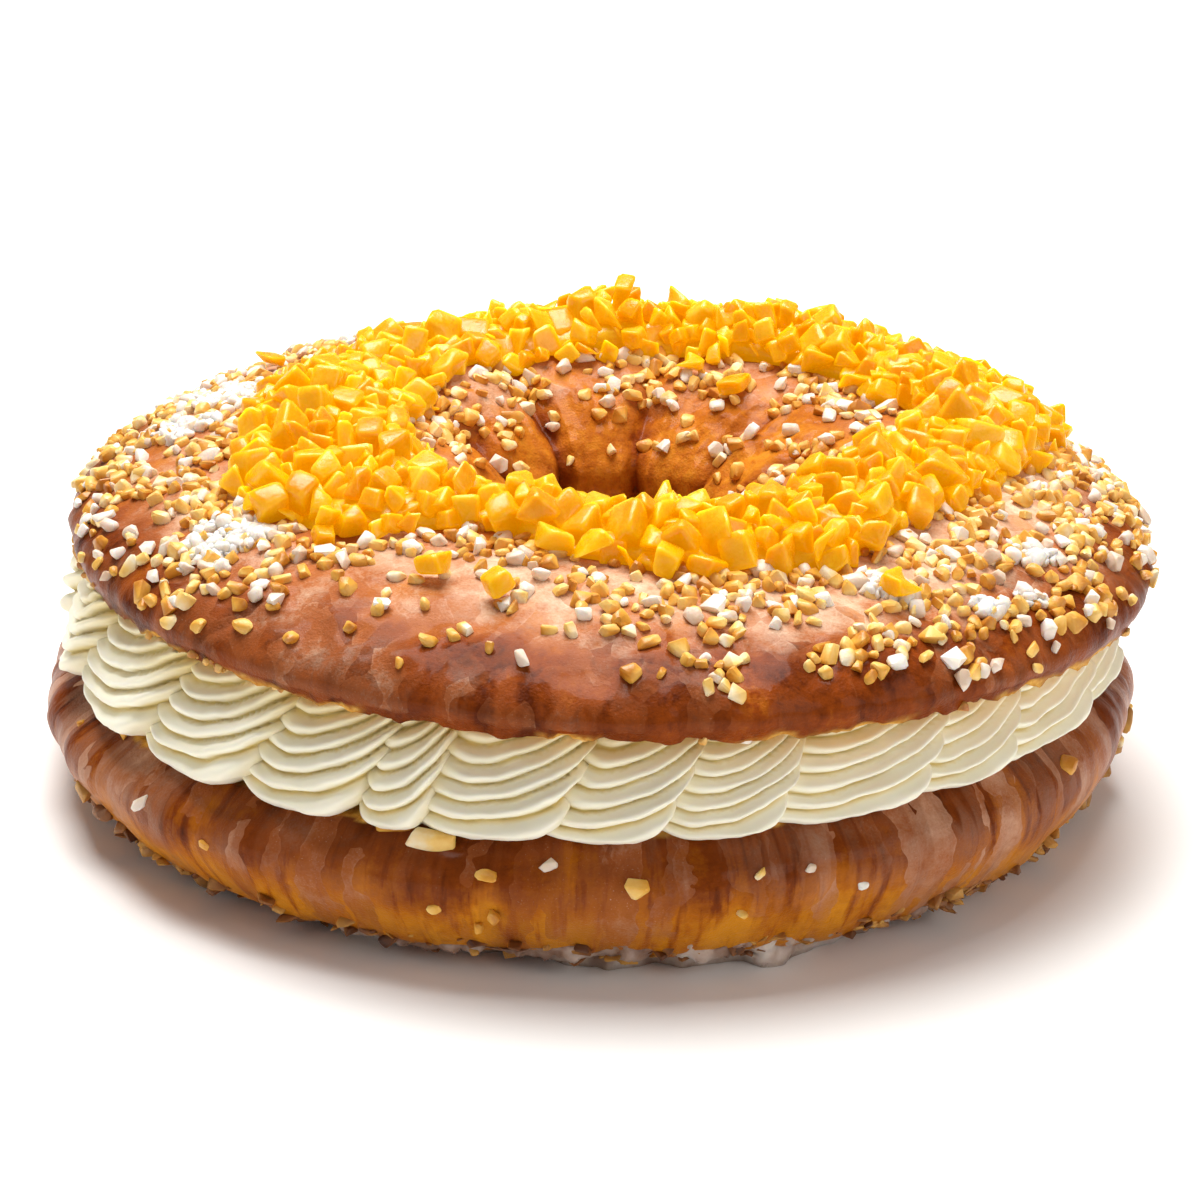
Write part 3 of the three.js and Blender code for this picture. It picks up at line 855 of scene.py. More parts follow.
def eachOf(tree, group):
    inputs = {"Collection": group, "Separate Children": True, "Reset Children": True}
    return addNode(tree, "GeometryNodeCollectionInfo", inputs).outputs[0]


def placeOn(tree, dots, kinds, rotation, scale):
    inputs = {"Points": dots, "Instance": kinds, "Pick Instance": True, "Rotation": rotation, "Scale": scale}
    return addNode(tree, "GeometryNodeInstanceOnPoints", inputs).outputs[0]


def toneEach(tree, chunks, tone):
    inputs = {"Geometry": chunks, "Name": "tone", "Value": tone}
    node = addNode(tree, "GeometryNodeStoreNamedAttribute", inputs, data_type="FLOAT", domain="INSTANCE")
    return node.outputs[0]


def randomValue(tree, low, high, seed, salt):
    inputs = {2: low, 3: high, "Seed": addMath(tree, "ADD", seed, float(salt))}
    return addNode(tree, "FunctionNodeRandomValue", inputs, data_type="FLOAT").outputs[1]


def combine(tree, x, y, z):
    return addNode(tree, "ShaderNodeCombineXYZ", {"X": x, "Y": y, "Z": z}).outputs[0]


# the tree's result becomes a plain mesh on the same object, and its source mesh goes
def bake(piece, tree, names, values):
    source = piece.data
    modifier = piece.modifiers.new(tree.name, "NODES")
    modifier.node_group = tree
    for label, value in values.items():
        modifier[names[label]] = value
    graph = bpy.context.evaluated_depsgraph_get()
    evaluated = piece.evaluated_get(graph)
    made = bpy.data.meshes.new_from_object(evaluated, preserve_all_data_layers=True, depsgraph=graph)
    piece.modifiers.clear()
    piece.data = made
    bpy.data.meshes.remove(source)
    made.name = piece.name
    print(piece.name, "has", len(made.polygons), "faces")
    return piece


# sets of source shapes that a tree picks from, dropped when they have been used
def newSet(name):
    group = bpy.data.collections.new(name)
    root.children.link(group)
    return group


def dropSet(group):
    for source in list(group.objects):
        mesh = source.data
        bpy.data.objects.remove(source)
        bpy.data.meshes.remove(mesh)
    bpy.data.collections.remove(group)


# a tree that sets a shell at each dot, turned and stretched by the dot's own marks, and makes the rope waver
def pipeTree():
    tree, names, given = makeTree("pipe shells", Shells="Collection", Ripple="Float")
    dots = addNode(tree, "GeometryNodeMeshToPoints", {"Mesh": given["Geometry"]}).outputs[0]
    spin = combine(tree, 0.0, 0.0, readMark(tree, "turnZ"))
    stretch = combine(tree, 1.0, readMark(tree, "wide"), readMark(tree, "tall"))
    shells = placeOn(tree, dots, eachOf(tree, given["Shells"]), spin, stretch)
    whole = addNode(tree, "GeometryNodeRealizeInstances", {"Geometry": shells}).outputs[0]
    place = tree.nodes.new("GeometryNodeInputPosition").outputs[0]
    waver = addNode(tree, "ShaderNodeTexNoise", {
        "Vector": place, "Scale": shell["rippleScale"], "Detail": 2.0}).outputs["Color"]
    centred = joinVectors(tree, "SUBTRACT", waver, (0.5, 0.5, 0.5))
    offset = scaleVector(tree, centred, given["Ripple"])
    moved = addNode(tree, "GeometryNodeSetPosition", {"Geometry": whole, "Offset": offset}).outputs[0]
    endTree(tree, moved, given["Finish"])
    return tree, names


def makeCream(finish):
    random = np.random.default_rng(shell["seed"])
    group = newSet("shells")
    for i in range(shell["kinds"]):
        points, faces, valley = shellMesh(random)
        source = addPiece(f"shell{i}", points, faces, finish, {"valley": valley})
        root.objects.unlink(source)
        group.objects.link(source)

    # shells seen in front are as wide as they look, and even ones close the ring at the back
    front = np.array(shell["ends"], float)
    behind = np.linspace(front[-1], front[0] + 360, shell["backCount"] + 1)
    ends = np.radians(np.concatenate([front, behind[1:]]))
    width, middle = np.diff(ends), (ends[:-1] + ends[1:]) / 2
    left = np.maximum(-np.cos(middle), 0) ** 2
    sideways = shell["edge"] * np.cos(middle)
    low = lowerCut(sideways) + shell["gap"] + shell["leftRise"] * left
    spots = np.stack([0 * low + ring["lowerShift"], 0 * low, low], axis=1)
    marks = {
        "turnZ": middle,
        "wide": width / (turn / shell["even"]),
        "tall": (upperCut(sideways) - shell["gap"] - low) / shell["height"],
    }
    piece = addPiece("piped_cream", spots, [], finish, marks)
    bake(piece, *pipeTree(), {"Shells": group, "Ripple": shell["ripple"] * mm, "Finish": finish})
    dropSet(group)
    return piece


creamCore = {
    "columns": 120,
    "rows": 6,
    "outer": 132.0,
    "hole": 36.0,
    "bulge": 1.5,
    "gap": 0.35,
    # the core sits back behind the shells, so it takes painted shade all over
    "valley": 0.6,
}


def makeCreamCore(finish):
    size = creamCore
    angles = ringAngles(size["columns"])
    cos = np.cos(angles)
    shift = ring["lowerShift"] - ring["upperShift"]
    shares = np.linspace(0, 1, size["rows"])
    line = []
    for side, rows in (("outer", shares), ("hole", shares[::-1])):
        for share in rows:
            radius = size[side] + size["bulge"] * np.sin(np.pi * share)
            low = lowerCut(radius * cos) + size["gap"]
            high = upperCut(radius * cos + shift) - size["gap"]
            line.append(np.stack([radius + 0 * cos, low + (high - low) * share], axis=-1))
    points = ringPoints(angles, np.stack(line, axis=1), ring["lowerShift"])
    marks = {"valley": np.full(points.shape[:2], size["valley"])}
    return addPiece("cream_filling_core", points, gridFaces(*points.shape[:2]), finish, marks)


def closeShape(shape, name):
    mesh = bpy.data.meshes.new(name)
    shape.to_mesh(mesh)
    shape.free()
    return mesh, np.array([vert.co for vert in mesh.vertices])


# chunks of unit size that the trees place: hulls of a few points, with their edges taken off
# and a mark that grows towards one side, where the nut's skin is
def chunkMesh(name, points, bevel):
    chunk = bmesh.new()
    for point in points:
        chunk.verts.new(point)
    bmesh.ops.convex_hull(chunk, input=chunk.verts)
    bmesh.ops.delete(chunk, geom=[vert for vert in chunk.verts if not vert.link_faces], context="VERTS")
    bmesh.ops.dissolve_limit(chunk, angle_limit=math.radians(12), verts=chunk.verts, edges=chunk.edges)
    bmesh.ops.bevel(chunk, geom=[*chunk.verts, *chunk.edges], offset=bevel, segments=1, profile=0.5,
                    affect="EDGES", clamp_overlap=True)
    bmesh.ops.recalc_face_normals(chunk, faces=chunk.faces)
    mesh, made = closeShape(chunk, name)
    writeMark(mesh, "skin", ease(-0.25, 0.35, made @ (0.7, 0.5, 0.5)))
    mesh.shade_smooth()
    mesh.set_sharp_from_angle(angle=math.radians(38))
    return mesh


def addToSet(group, mesh):
    group.objects.link(bpy.data.objects.new(mesh.name, mesh))


# a stretch along each axis, drawn between the two numbers given for it
def drawStretch(random, shape):
    return random.uniform(*np.array(shape).T)


# lumps of unit size: a ball pushed about by noise
def lumpSet(name, count, seed, uneven, shape):
    random = np.random.default_rng(seed)
    group = newSet(name)
    for i in range(count):
        ball = bmesh.new()
        bmesh.ops.create_icosphere(ball, subdivisions=2, radius=0.5)
        mesh, points = closeShape(ball, f"{name}{i}")
        points *= 1 + uneven * noise(points + 3 * i, 0.45, seed)[:, None]
        points *= drawStretch(random, shape)
        mesh.vertices.foreach_set("co", points.ravel())
        mesh.shade_smooth()
        addToSet(group, mesh)
    return group


halfSide = 0.45
corners = np.array([(x, y, z) for x in (-1, 1) for y in (-1, 1) for z in (-1, 1)]) * halfSide


# each chunk starts from a box's corners, moved at random, and points on a ball
def chunkSet(name, count, seed, boxy, extra, bevel, shape):
    random = np.random.default_rng(seed)
    group = newSet(name)
    for i in range(count):
        ball = random.normal(size=(extra, 3))
        ball *= 0.52 / np.linalg.norm(ball, axis=1, keepdims=True)
        points = np.concatenate([corners * boxy + random.uniform(-0.2, 0.2, (8, 3)), ball])
        addToSet(group, chunkMesh(f"{name}{i}", points * drawStretch(random, shape), bevel))
    return group


dice = {
    "kinds": 30,
    "seed": 31,
    "steps": [-1.0, -0.6, 0.6, 1.0],
    "jitter": 0.19,
    "cutOff": 0.7,
    "cutShare": 0.15,
    "warp": 0.06,
    "shape": [(0.85, 1.15), (0.7, 1.05), (0.55, 0.9)],
    # by how many of a point's sides are outermost: none, a face, an edge or a corner
    "pullIn": [1, 1, 0.93, 0.85],
    # pale: painted glow, lighter along the edges and at the corners as if light shone through the thin fruit
    # there
    "pale": [0.35, 0.35, 0.7, 1.0],
}


# cut blocks of unit size: a box with narrow strips along its edges, warped by moving its corners
def diceSet():
    random = np.random.default_rng(dice["seed"])
    group = newSet("dice")
    strips = range(len(dice["steps"]) - 1)
    for i in range(dice["kinds"]):
        box = bmesh.new()
        for axis in range(3):
            for side in (-1.0, 1.0):
                rows = [[np.roll((side, a, b), axis) for b in dice["steps"]] for a in dice["steps"]]
                sheet = [[box.verts.new(place) for place in row] for row in rows]
                for a in strips:
                    for b in strips:
                        box.faces.new((sheet[a][b], sheet[a + 1][b], sheet[a + 1][b + 1], sheet[a][b + 1]))
        bmesh.ops.remove_doubles(box, verts=box.verts, dist=0.001)
        bmesh.ops.recalc_face_normals(box, faces=box.faces)
        mesh, points = closeShape(box, f"dice{i}")
        outermost = (np.abs(points) > 0.99).sum(axis=1)
        points *= np.array(dice["pullIn"])[outermost][:, None]
        moves = random.uniform(-dice["jitter"], dice["jitter"], (8, 3))
        moves = moves - dice["cutOff"] * corners * (random.uniform(size=(8, 1)) < dice["cutShare"])
        weights = np.prod((1 + points[:, None] * np.sign(corners)[None]) / 2, axis=2)
        points = (halfSide * points + weights @ moves) * drawStretch(random, dice["shape"])
        warp = [noise(points + 2 * i + j, 0.4, dice["seed"]) for j in range(3)]
        points += dice["warp"] * np.stack(warp, axis=1)
        mesh.vertices.foreach_set("co", points.ravel())
        # the corner mark carries that painted glow
        writeMark(mesh, "corner", np.array(dice["pale"])[outermost])
        mesh.shade_smooth()
        addToSet(group, mesh)
    return group


# a tree that strews chunks over a surface, thick where its mark says
def strewTree():
    tree, names, given = makeTree(
        "strew", Chunks="Collection", Spacing="Float", Density="Float", Mark="String", Smallest="Float",
        Largest="Float", Lift="Float", Tilt="Float", Seed="Int")
    seed = given["Seed"]
    dots = addNode(tree, "GeometryNodeDistributePointsOnFaces", {
        "Mesh": given["Geometry"], "Distance Min": given["Spacing"], "Density Max": given["Density"],
        "Density Factor": readMark(tree, given["Mark"]), "Seed": seed}, distribute_method="POISSON")
    tiltX = addMath(tree, "MULTIPLY", randomValue(tree, -1.0, 1.0, seed, 1), given["Tilt"])
    tiltY = addMath(tree, "MULTIPLY", randomValue(tree, -1.0, 1.0, seed, 2), given["Tilt"])
    spin = combine(tree, tiltX, tiltY, randomValue(tree, 0.0, turn, seed, 3))
    spin = addNode(tree, "FunctionNodeEulerToRotation", {0: spin}).outputs[0]
    facing = {0: dots.outputs["Rotation"], 1: spin}
    facing = addNode(tree, "FunctionNodeRotateRotation", facing, rotation_space="LOCAL").outputs[0]
    scale = randomValue(tree, given["Smallest"], given["Largest"], seed, 4)
    strewn = placeOn(tree, dots.outputs["Points"], eachOf(tree, given["Chunks"]), facing, scale)
    raised = scaleVector(tree, dots.outputs["Normal"], given["Lift"])
    strewn = addNode(tree, "GeometryNodeTranslateInstances", {
        "Instances": strewn, "Translation": raised, "Local Space": False}).outputs[0]
    endTree(tree, toneEach(tree, strewn, randomValue(tree, 0.0, 1.0, seed, 5)), given["Finish"])
    return tree, names


def strew(name, ground, density, chunks, finish, look):
    mesh = ground.data.copy()
    mark = "thick"
    writeMark(mesh, mark, np.clip(density, 0, 1))
    return bake(linkPiece(name, mesh), *trees["strew"], {
        "Chunks": chunks, "Spacing": look["spacing"] * mm, "Density": look["density"] / mm**2, "Mark": mark,
        "Smallest": look["smallest"] * mm, "Largest": look["largest"] * mm, "Lift": look["lift"] * mm,
        "Tilt": look["tilt"], "Seed": look["seed"], "Finish": finish})


# a tree that sets chunks at given points, turned and sized by the points' own marks
def setTree():
    tree, names, given = makeTree("set chunks", Chunks="Collection")
    dots = addNode(tree, "GeometryNodeMeshToPoints", {"Mesh": given["Geometry"]}).outputs[0]
    spin = combine(tree, *(readMark(tree, mark) for mark in turns))
    placed = placeOn(tree, dots, eachOf(tree, given["Chunks"]), spin, readMark(tree, "size"))
    endTree(tree, toneEach(tree, placed, readMark(tree, "shade")), given["Finish"])
    return tree, names


turns = ("turnX", "turnY", "turnZ")
anyTurn = [(0, turn)] * 3


# marks for chunks at given places: each shade and turn is drawn between the two numbers given for it
def drawSpots(random, place, size, shade, ranges):
    spots = {"place": place, "size": size, "shade": random.uniform(*shade, len(place))}
    for mark, span in zip(turns, ranges):
        spots[mark] = random.uniform(*span, len(place))
    return spots


def setChunks(name, spots, chunks, finish):
    marks = {mark: spots[mark] for mark in (*turns, "shade")}
    marks["size"] = np.asarray(spots["size"]) * mm
    piece = addPiece(name, spots["place"], [], finish, marks)
    return bake(piece, *trees["set"], {"Chunks": chunks, "Finish": finish})


# candied orange

heap = {
    "shift": 10.0,
    # round the heap's own centre: degrees, inner radius, outer radius
    "edges": [(5, 73, 114), (18, 72, 120), (35, 68, 117), (60, 64, 106), (85, 64, 99), (110, 65, 100),
              (138, 69, 104), (162, 67, 108), (185, 62, 111), (209, 61, 121), (222, 61, 118), (232, 61, 99),
              (240, 61, 88), (248, 62, 91), (256, 63, 96), (272, 63, 99), (284, 63, 99), (296, 63, 105),
              (308, 61, 96), (320, 58, 90), (338, 57, 97), (350, 63, 101)],
    "tries": 6000,
    "smallest": 5.5,
    "largest": 11.5,
    "fewLarge": 1.4,
    "middleRadius": 85.0,
    "bumps": 0.32,
    "bumpNoise": (15.0, 77),
    "frontHeight": 8.5,
    "backHeight": 11.5,
    "dip": 0.55,
    "dipAngle": 2.4,
    "dipSpread": 0.55,
    "ragged": 0.2,
    "raggedRadius": 40.0,
    "raggedNoise": (9.0, 57),
    "rest": 0.42,  # height of a die's middle over what it lies on, as a share of its size
    "nesting": 0.33,  # how near two dice come, as a share of their sizes
    "coreShare": 0.6,
    "coreWidth": 0.8,
    "coreLump": 1.8,
    "coreColumns": 300,
    "coreRows": 14,
    "seed": 7,
}


# the middle of the heap's band and half its width, at an angle round the heap's centre
def heapBand(angle):
    place, inner, outer = np.array(heap["edges"]).T
    bands = ((inner + outer) / 2, outer - inner)
    middle, width = (np.interp(np.degrees(angle), place, band, period=360) for band in bands)
    return middle, width / 2


def heapDepth(angle):
    front, back = heap["frontHeight"], heap["backHeight"]
    off = np.arctan2(np.sin(angle - heap["dipAngle"]), np.cos(angle - heap["dipAngle"]))
    rise = 1 - heap["dip"] * np.exp(-((off / heap["dipSpread"]) ** 2))
    path = ringPath(angle, heap["middleRadius"], 0 * angle)
    rise = rise * (1 + heap["bumps"] * noise([path], *heap["bumpNoise"])[0])
    return rise * (front + (back - front) * ease(-1.0, 0.2, np.sin(angle)))


# a place in the upper half's plane, from one edge of the heap's band (-1) to the other (1)
def heapPlace(angle, across):
    middle, half = heapBand(angle)
    radius = middle + across * half
    return heap["shift"] + radius * math.cos(angle), radius * math.sin(angle)


# how far a place in the upper half's plane is outside the heap's edge
def offHeap(x, y):
    middle, half = heapBand(np.arctan2(y, x - heap["shift"]))
    return np.abs(np.hypot(x - heap["shift"], y) - middle) - half


# height of the crust above a place in the upper half's plane
def crustHeight(points, x, y):
    columns = points.shape[0]
    column = int(round(math.atan2(y, x) / turn * columns)) % columns
    line = points[column, 8 : upperCrust["rows"]]  # above the rim's overhang
    radius = np.hypot(line[:, 0] - ring["upperShift"], line[:, 1])
    return float(np.interp(math.hypot(x, y), radius[::-1], line[::-1, 2]))


# dice are dropped one by one, and stay where they don't stand out of the heap
def pileOrange(crustPoints, random):
    placed = []
    for _ in range(heap["tries"]):
        angle = random.uniform(0, turn)
        edge = noise([ringPath(angle, heap["raggedRadius"], side) for side in (0, 50)], *heap["raggedNoise"])
        across = random.uniform(-1 - heap["ragged"] * edge[0], 1 + heap["ragged"] * edge[1])
        large = random.uniform() ** heap["fewLarge"]
        size = heap["smallest"] + (heap["largest"] - heap["smallest"]) * large
        x, y = heapPlace(angle, across)
        ground = crustHeight(crustPoints, x, y)
        lowest = ground + size * heap["rest"]
        level = lowest
        for other in placed:
            reach = (size + other[3]) * heap["nesting"]
            apart = math.hypot(x - other[0], y - other[1])
            if apart < reach:
                level = max(level, other[2] + math.sqrt(reach * reach - apart * apart))
        allowed = heapDepth(angle) * math.sqrt(max(1 - across * across, 0.1)) + 0.1 * size
        if level - ground < allowed or (level == lowest and abs(across) < 0.96):
            placed.append((x, y, level, size))
    return np.array(placed)


def makeOrange(crustPoints, chunks, finish):
    random = np.random.default_rng(heap["seed"])
    places = pileOrange(crustPoints, random)
    spots = drawSpots(random, places[:, :3] + [ring["upperShift"], 0, 0], places[:, 3], (0, 1), anyTurn)
    print("orange pieces in the heap:", len(places))
    return setChunks("orange_heap", spots, chunks, finish)


# a lumpy bed under the pieces, so that light orange shows between them
def makeOrangeCore(crustPoints, finish):
    angles = ringAngles(heap["coreColumns"])
    sweep = np.linspace(0, turn, heap["coreRows"], endpoint=False)
    grid = np.empty((len(angles), len(sweep), 3))
    for i, angle in enumerate(angles):
        for j, side in enumerate(sweep):
            x, y = heapPlace(angle, -heap["coreWidth"] * math.cos(side))
            rise = max(-math.sin(side), 0.0) ** 0.8
            lift = 0.3 + heapDepth(angle) * heap["coreShare"] * rise
            grid[i, j] = (x + ring["upperShift"], y, crustHeight(crustPoints, x, y) + lift)
    grid[..., 2] += heap["coreLump"] * noise(grid, 6.0, 51) * (np.sin(sweep) < -0.1)
    # the core takes a fixed share of the painted edge glow
    marks = {"tone": np.clip(0.45 + 0.4 * noise(grid, 5.0, 53), 0, 1), "corner": np.full(grid.shape[:2], 0.6)}
    return addPiece("orange_heap_core", grid, gridFaces(*grid.shape[:2]), finish, marks)


looseNodes = sorted(name for name in frame["nodes"] if name.startswith("candied_orange_piece"))
loose = {"size": (8.0, 9.8), "shade": (0.2, 0.9), "turns": [(-0.3, 0.3), (-0.3, 0.3), (0, turn)], "seed": 17}


def makeLooseOrange(chunks, finish):
    random = np.random.default_rng(loose["seed"])
    boxes = [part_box(name) for name in looseNodes]
    place = np.array([(low + high) / 2 / mm for low, high in boxes])
    size = random.uniform(*loose["size"], len(boxes))
    spots = drawSpots(random, place, size, loose["shade"], loose["turns"])
    return setChunks("loose_orange", spots, chunks, finish)


# nuts, sugar and crumbs on the crust: spacing, sizes and lift in millimetres, density per square millimetre

almond = {"spacing": 2.9, "density": 0.27, "smallest": 3.4, "largest": 6.2,
          "lift": 0.6, "tilt": 0.5, "seed": 12}
sugar = {"spacing": 4.2, "density": 0.028, "smallest": 3.4, "largest": 7.2,
         "lift": 0.9, "tilt": 0.5, "seed": 23}
icing = {"spacing": 1.5, "density": 0.6, "smallest": 2.2, "largest": 5.4,
         "lift": 0.8, "tilt": 0.6, "seed": 35}
rimCrumbs = {"spacing": 1.4, "density": 0.35, "smallest": 0.8, "largest": 4.4,
             "lift": 0.0, "tilt": 1.2, "seed": 52}

# where icing set white, and where nuts lie thick on the front of the crust: x, y and reach
icingSpots = [(-94, -73, 15), (-87, -57, 10), (-106, 28, 16), (-114, 2, 11), (72, -9, 9), (95, -94, 5),
              (107, -84, 5), (70, -96, 7), (109, -65, 8), (-80, 92, 12), (92, 84, 9)]
nutSpots = [(30, -136, 8), (24, -132, 6), (53, -128, 7), (62, -122, 9), (72, -117, 8), (85, -110, 10),
            (98, -98, 12)]


def nearSpots(points, spots, core):
    best = np.zeros(points.shape[:-1])
    for x, y, reach in spots:
        off = np.hypot(points[..., 0] - x, points[..., 1] - y)
        best = np.maximum(best, ease(reach, reach * core, off))
    return best


strewn = {
    "outsideReach": (38.0, 8.0),  # distance from the heap where the topping ends, and where it is full
    "insideReach": (32.0, 3.0),
    "least": 0.14,
    "sides": 0.72,
    "inside": 0.85,
    "insideLeast": 0.3,
    "clumpNoise": (8.0, 41),
    "thinnest": 0.12,
}


def toppingDensity(points, share, onCrust):
    x, y = points[..., 0] - ring["upperShift"], points[..., 1]
    away = offHeap(x, y)
    sides = ease(0.45, 0.85, np.abs(x) / np.hypot(x, y) + 0.5 * (y > 0))
    outside = np.maximum(ease(*strewn["outsideReach"], away), strewn["least"] + strewn["sides"] * sides)
    outside = outside * ease(0.03, 0.1, share + 0.05 * (sides - 1))
    inside = np.maximum(strewn["inside"] * ease(*strewn["insideReach"], away), strewn["insideLeast"])
    inside = inside * ease(0.96, 0.84, share)
    clumps = 0.75 + 0.9 * noise(points, *strewn["clumpNoise"])
    density = np.where(share < 0.5, outside, inside) * np.clip(clumps, strewn["thinnest"], 1.0)
    density = np.maximum(density, nearSpots(points, nutSpots, 0.4))
    return density * ease(-7.0, -1.0, away) * onCrust


def icingDensity(points, onCrust):
    onTop = points[..., 2] > ring["lowerCut"] + ring["creamGap"] + 4
    return nearSpots(points, icingSpots, 0.3) * onCrust * onTop


# crumbs left along the rim by the cut, most at the left
def rimDensity(points, share, onCrust):
    leftward = ease(10, -60, points[..., 0])
    clumped = np.clip(3.0 * noise(points, 7.0, 93) - 0.9 + 0.9 * leftward, 0, 1)
    return ease(0.022, 0.008, share) * onCrust * clumped


# bits stuck to the lower wall and its foot: angle in degrees, height and size in millimetres
wallFlakes = [(255.2, 35.6, 10.0), (251.3, 37.6, 8.0), (96.0, 35.0, 8.0)]
wallNuts = [(261.0, 31.1, 4.8), (275.0, 29.6, 6.0), (286.6, 31.8, 3.4), (284.9, 21.5, 3.2),
            (260.2, 15.7, 4.2), (261.9, 20.2, 4.4), (256.2, 21.1, 4.2), (231.5, 23.4, 5.0),
            (316.7, 41.0, 4.0), (326.4, 35.5, 6.0), (349.3, 19.9, 5.0), (212.0, 36.0, 5.0),
            (204.0, 31.0, 4.0), (20.0, 24.0, 4.5), (48.0, 30.0, 5.0), (77.0, 20.0, 4.0),
            (104.0, 33.0, 5.5), (131.0, 26.0, 4.2), (150.0, 18.0, 4.8), (172.0, 30.0, 5.2),
            (182.0, 39.5, 9.0), (184.5, 37.0, 6.0), (356.0, 22.0, 6.0)]
wallSugar = [(222.0, 27.2, 7.5), (266.8, 33.5, 4.6), (291.5, 31.5, 4.0), (297.0, 24.9, 3.6),
             (35.0, 29.0, 5.0), (90.0, 26.0, 4.5), (160.0, 32.0, 5.0)]
footClumps = [(354.0, 21.0, 8.0), (351.5, 17.0, 9.0), (352.5, 11.0, 7.0), (348.0, 12.0, 9.0),
              (345.5, 7.0, 9.0), (342.5, 9.0, 7.0), (340.0, 4.5, 9.0), (336.5, 5.0, 7.0),
              (333.0, 3.5, 8.0), (329.0, 3.5, 6.0), (211.0, 13.0, 8.0), (208.5, 17.0, 6.0),
              (206.0, 11.0, 6.0), (217.0, 6.0, 7.0), (224.0, 4.0, 8.0)]


def wallRadius(angle, height):
    size = lowerCrust
    share = height / lowerCut(size["shoulder"] * np.cos(angle))
    less, shares = np.array(size["wall"]).T
    shape = [size["base"], *(size["belly"] - less), size["shoulder"]]
    return np.interp(share, [0, *shares, 1], shape) + size["lump"] * wave(angle, size["lumpShift"])


def wallPlace(angle, radius, height):
    return ringPath(angle, radius, height) + [ring["lowerShift"], 0, 0]


# bits lie flat against the wall
def wallSpots(bits, seed):
    random = np.random.default_rng(seed)
    degrees, height, size = np.array(bits).T
    angle = np.radians(degrees)
    place = wallPlace(angle, wallRadius(angle, height) + 0.15 * size, height)
    upright = (turn / 4 - 0.3, turn / 4 + 0.3)
    spots = drawSpots(random, place, size, (0, 1), [upright, (-0.6, 0.6)])
    spots["turnZ"] = angle + turn / 4
    return spots


# icing that ran down, pooled round the foot and set in lobes
skirt = {
    "columns": 1200,
    "rows": 16,
    "path": 130.0,
    "front": 281.0,  # degrees round the ring where most of it lies
    "spread": 28.0,
    "elsewhere": 0.15,
    "least": 0.8,
    "most": 15.5,
    "top": 12.5,
    "bulge": 1.6,
    "cling": 3.4,
    "sunk": 0.8,
    "floorGap": 0.05,
    "lump": 2.1,
    # size in millimetres and seed of each noise
    "pools": (22.4, 61),
    "lobes": (7.0, 62),
    "lobeEdges": (3.6, 66),
    "upperEdge": (5.0, 63),
    "lumps": (5.0, 64),
    "tones": (5.0, 65),
}


def makeSkirt(finish):
    size = skirt
    angle = ringAngles(size["columns"])
    path = ringPath(angle, size["path"], 0 * angle)
    front = np.exp(-(((np.degrees(angle) - size["front"]) / size["spread"]) ** 2))
    front = size["elsewhere"] + (1 - size["elsewhere"]) * front
    pool = np.clip(0.5 + 0.5 * noise(path, *size["pools"]) + 0.4 * front, 0.15, 1)
    lobe = np.clip(0.5 + 0.6 * noise(path, *size["lobes"]) + 0.25 * noise(path, *size["lobeEdges"]), 0, 1)
    pool = pool * (0.45 + 0.55 * lobe)
    full = front * np.sqrt(pool)
    reach = size["least"] + (size["most"] - size["least"]) * front * pool
    top = size["top"] * (0.3 + 0.2 * noise(path, *size["upperEdge"]) + 0.7 * full)

    # from the wall down to the floor in a quarter turn, never inside the wall
    share = np.linspace(0, 1, size["rows"])
    bend = share[None] * turn / 4
    start = (wallRadius(angle, top) - size["sunk"])[:, None]
    end = (lowerCrust["base"] + reach)[:, None]
    radius = start + (end - start) * np.sin(bend) ** 0.8 + size["bulge"] * np.sin(2 * bend)
    height = top[:, None] * np.cos(bend) ** 0.7 + size["floorGap"]
    cling = size["cling"] * full[:, None] * np.sin(bend) ** 0.6 - size["sunk"]
    radius = np.maximum(radius, wallRadius(angle[:, None], height) + cling)
    under = np.stack([lowerCrust["base"] - 1.0 + 0 * angle, size["floorGap"] + 0 * angle], axis=-1)[:, None]
    inside = np.stack([start[:, 0] - 2.0, top], axis=-1)[:, None]
    line = np.concatenate([under, np.stack([radius, height], axis=-1)[:, ::-1], inside], axis=1)
    points = ringPoints(angle, line, ring["lowerShift"])
    lump = roughNoise(points, *size["lumps"], 4) * np.sin(np.linspace(0, turn / 2, line.shape[1]))[None]
    points = points + gridNormals(points) * size["lump"] * lump[..., None]
    points[..., 2] = np.maximum(points[..., 2], size["floorGap"])
    # tone: paler where the icing pooled and towards its brim; darker between the lobes and on the rows under
    # it and against the wall, which is painted shade
    brim = np.concatenate([[0.1], ease(0.3, 0.9, share[::-1]), [0]])[None]
    tone = 0.55 * pool[:, None] + 0.3 * brim - 0.3 * (1 - lobe[:, None])
    tone = tone + 0.45 * roughNoise(points, *size["tones"])
    marks = {"tone": np.clip(tone, 0, 1)}
    piece = addPiece("foot_icing", points, gridFaces(*points.shape[:2]), finish, marks)
    print("foot icing:", len(piece.data.polygons), "faces")
    return piece


# crumbs gathered where the wall meets the floor: sizes and reach in millimetres
foot = {"path": 130.0, "crowd": 17.0, "height": 8.0, "turns": [(-0.6, 0.6), (-0.6, 0.6), (0, turn)]}
footCrumbs = {"count": 860, "reach": 3.0, "smallest": 1.5, "largest": 7.0, "seed": 75}
footChunks = {"count": 150, "reach": 2.0, "smallest": 2.0, "largest": 6.0, "seed": 78}


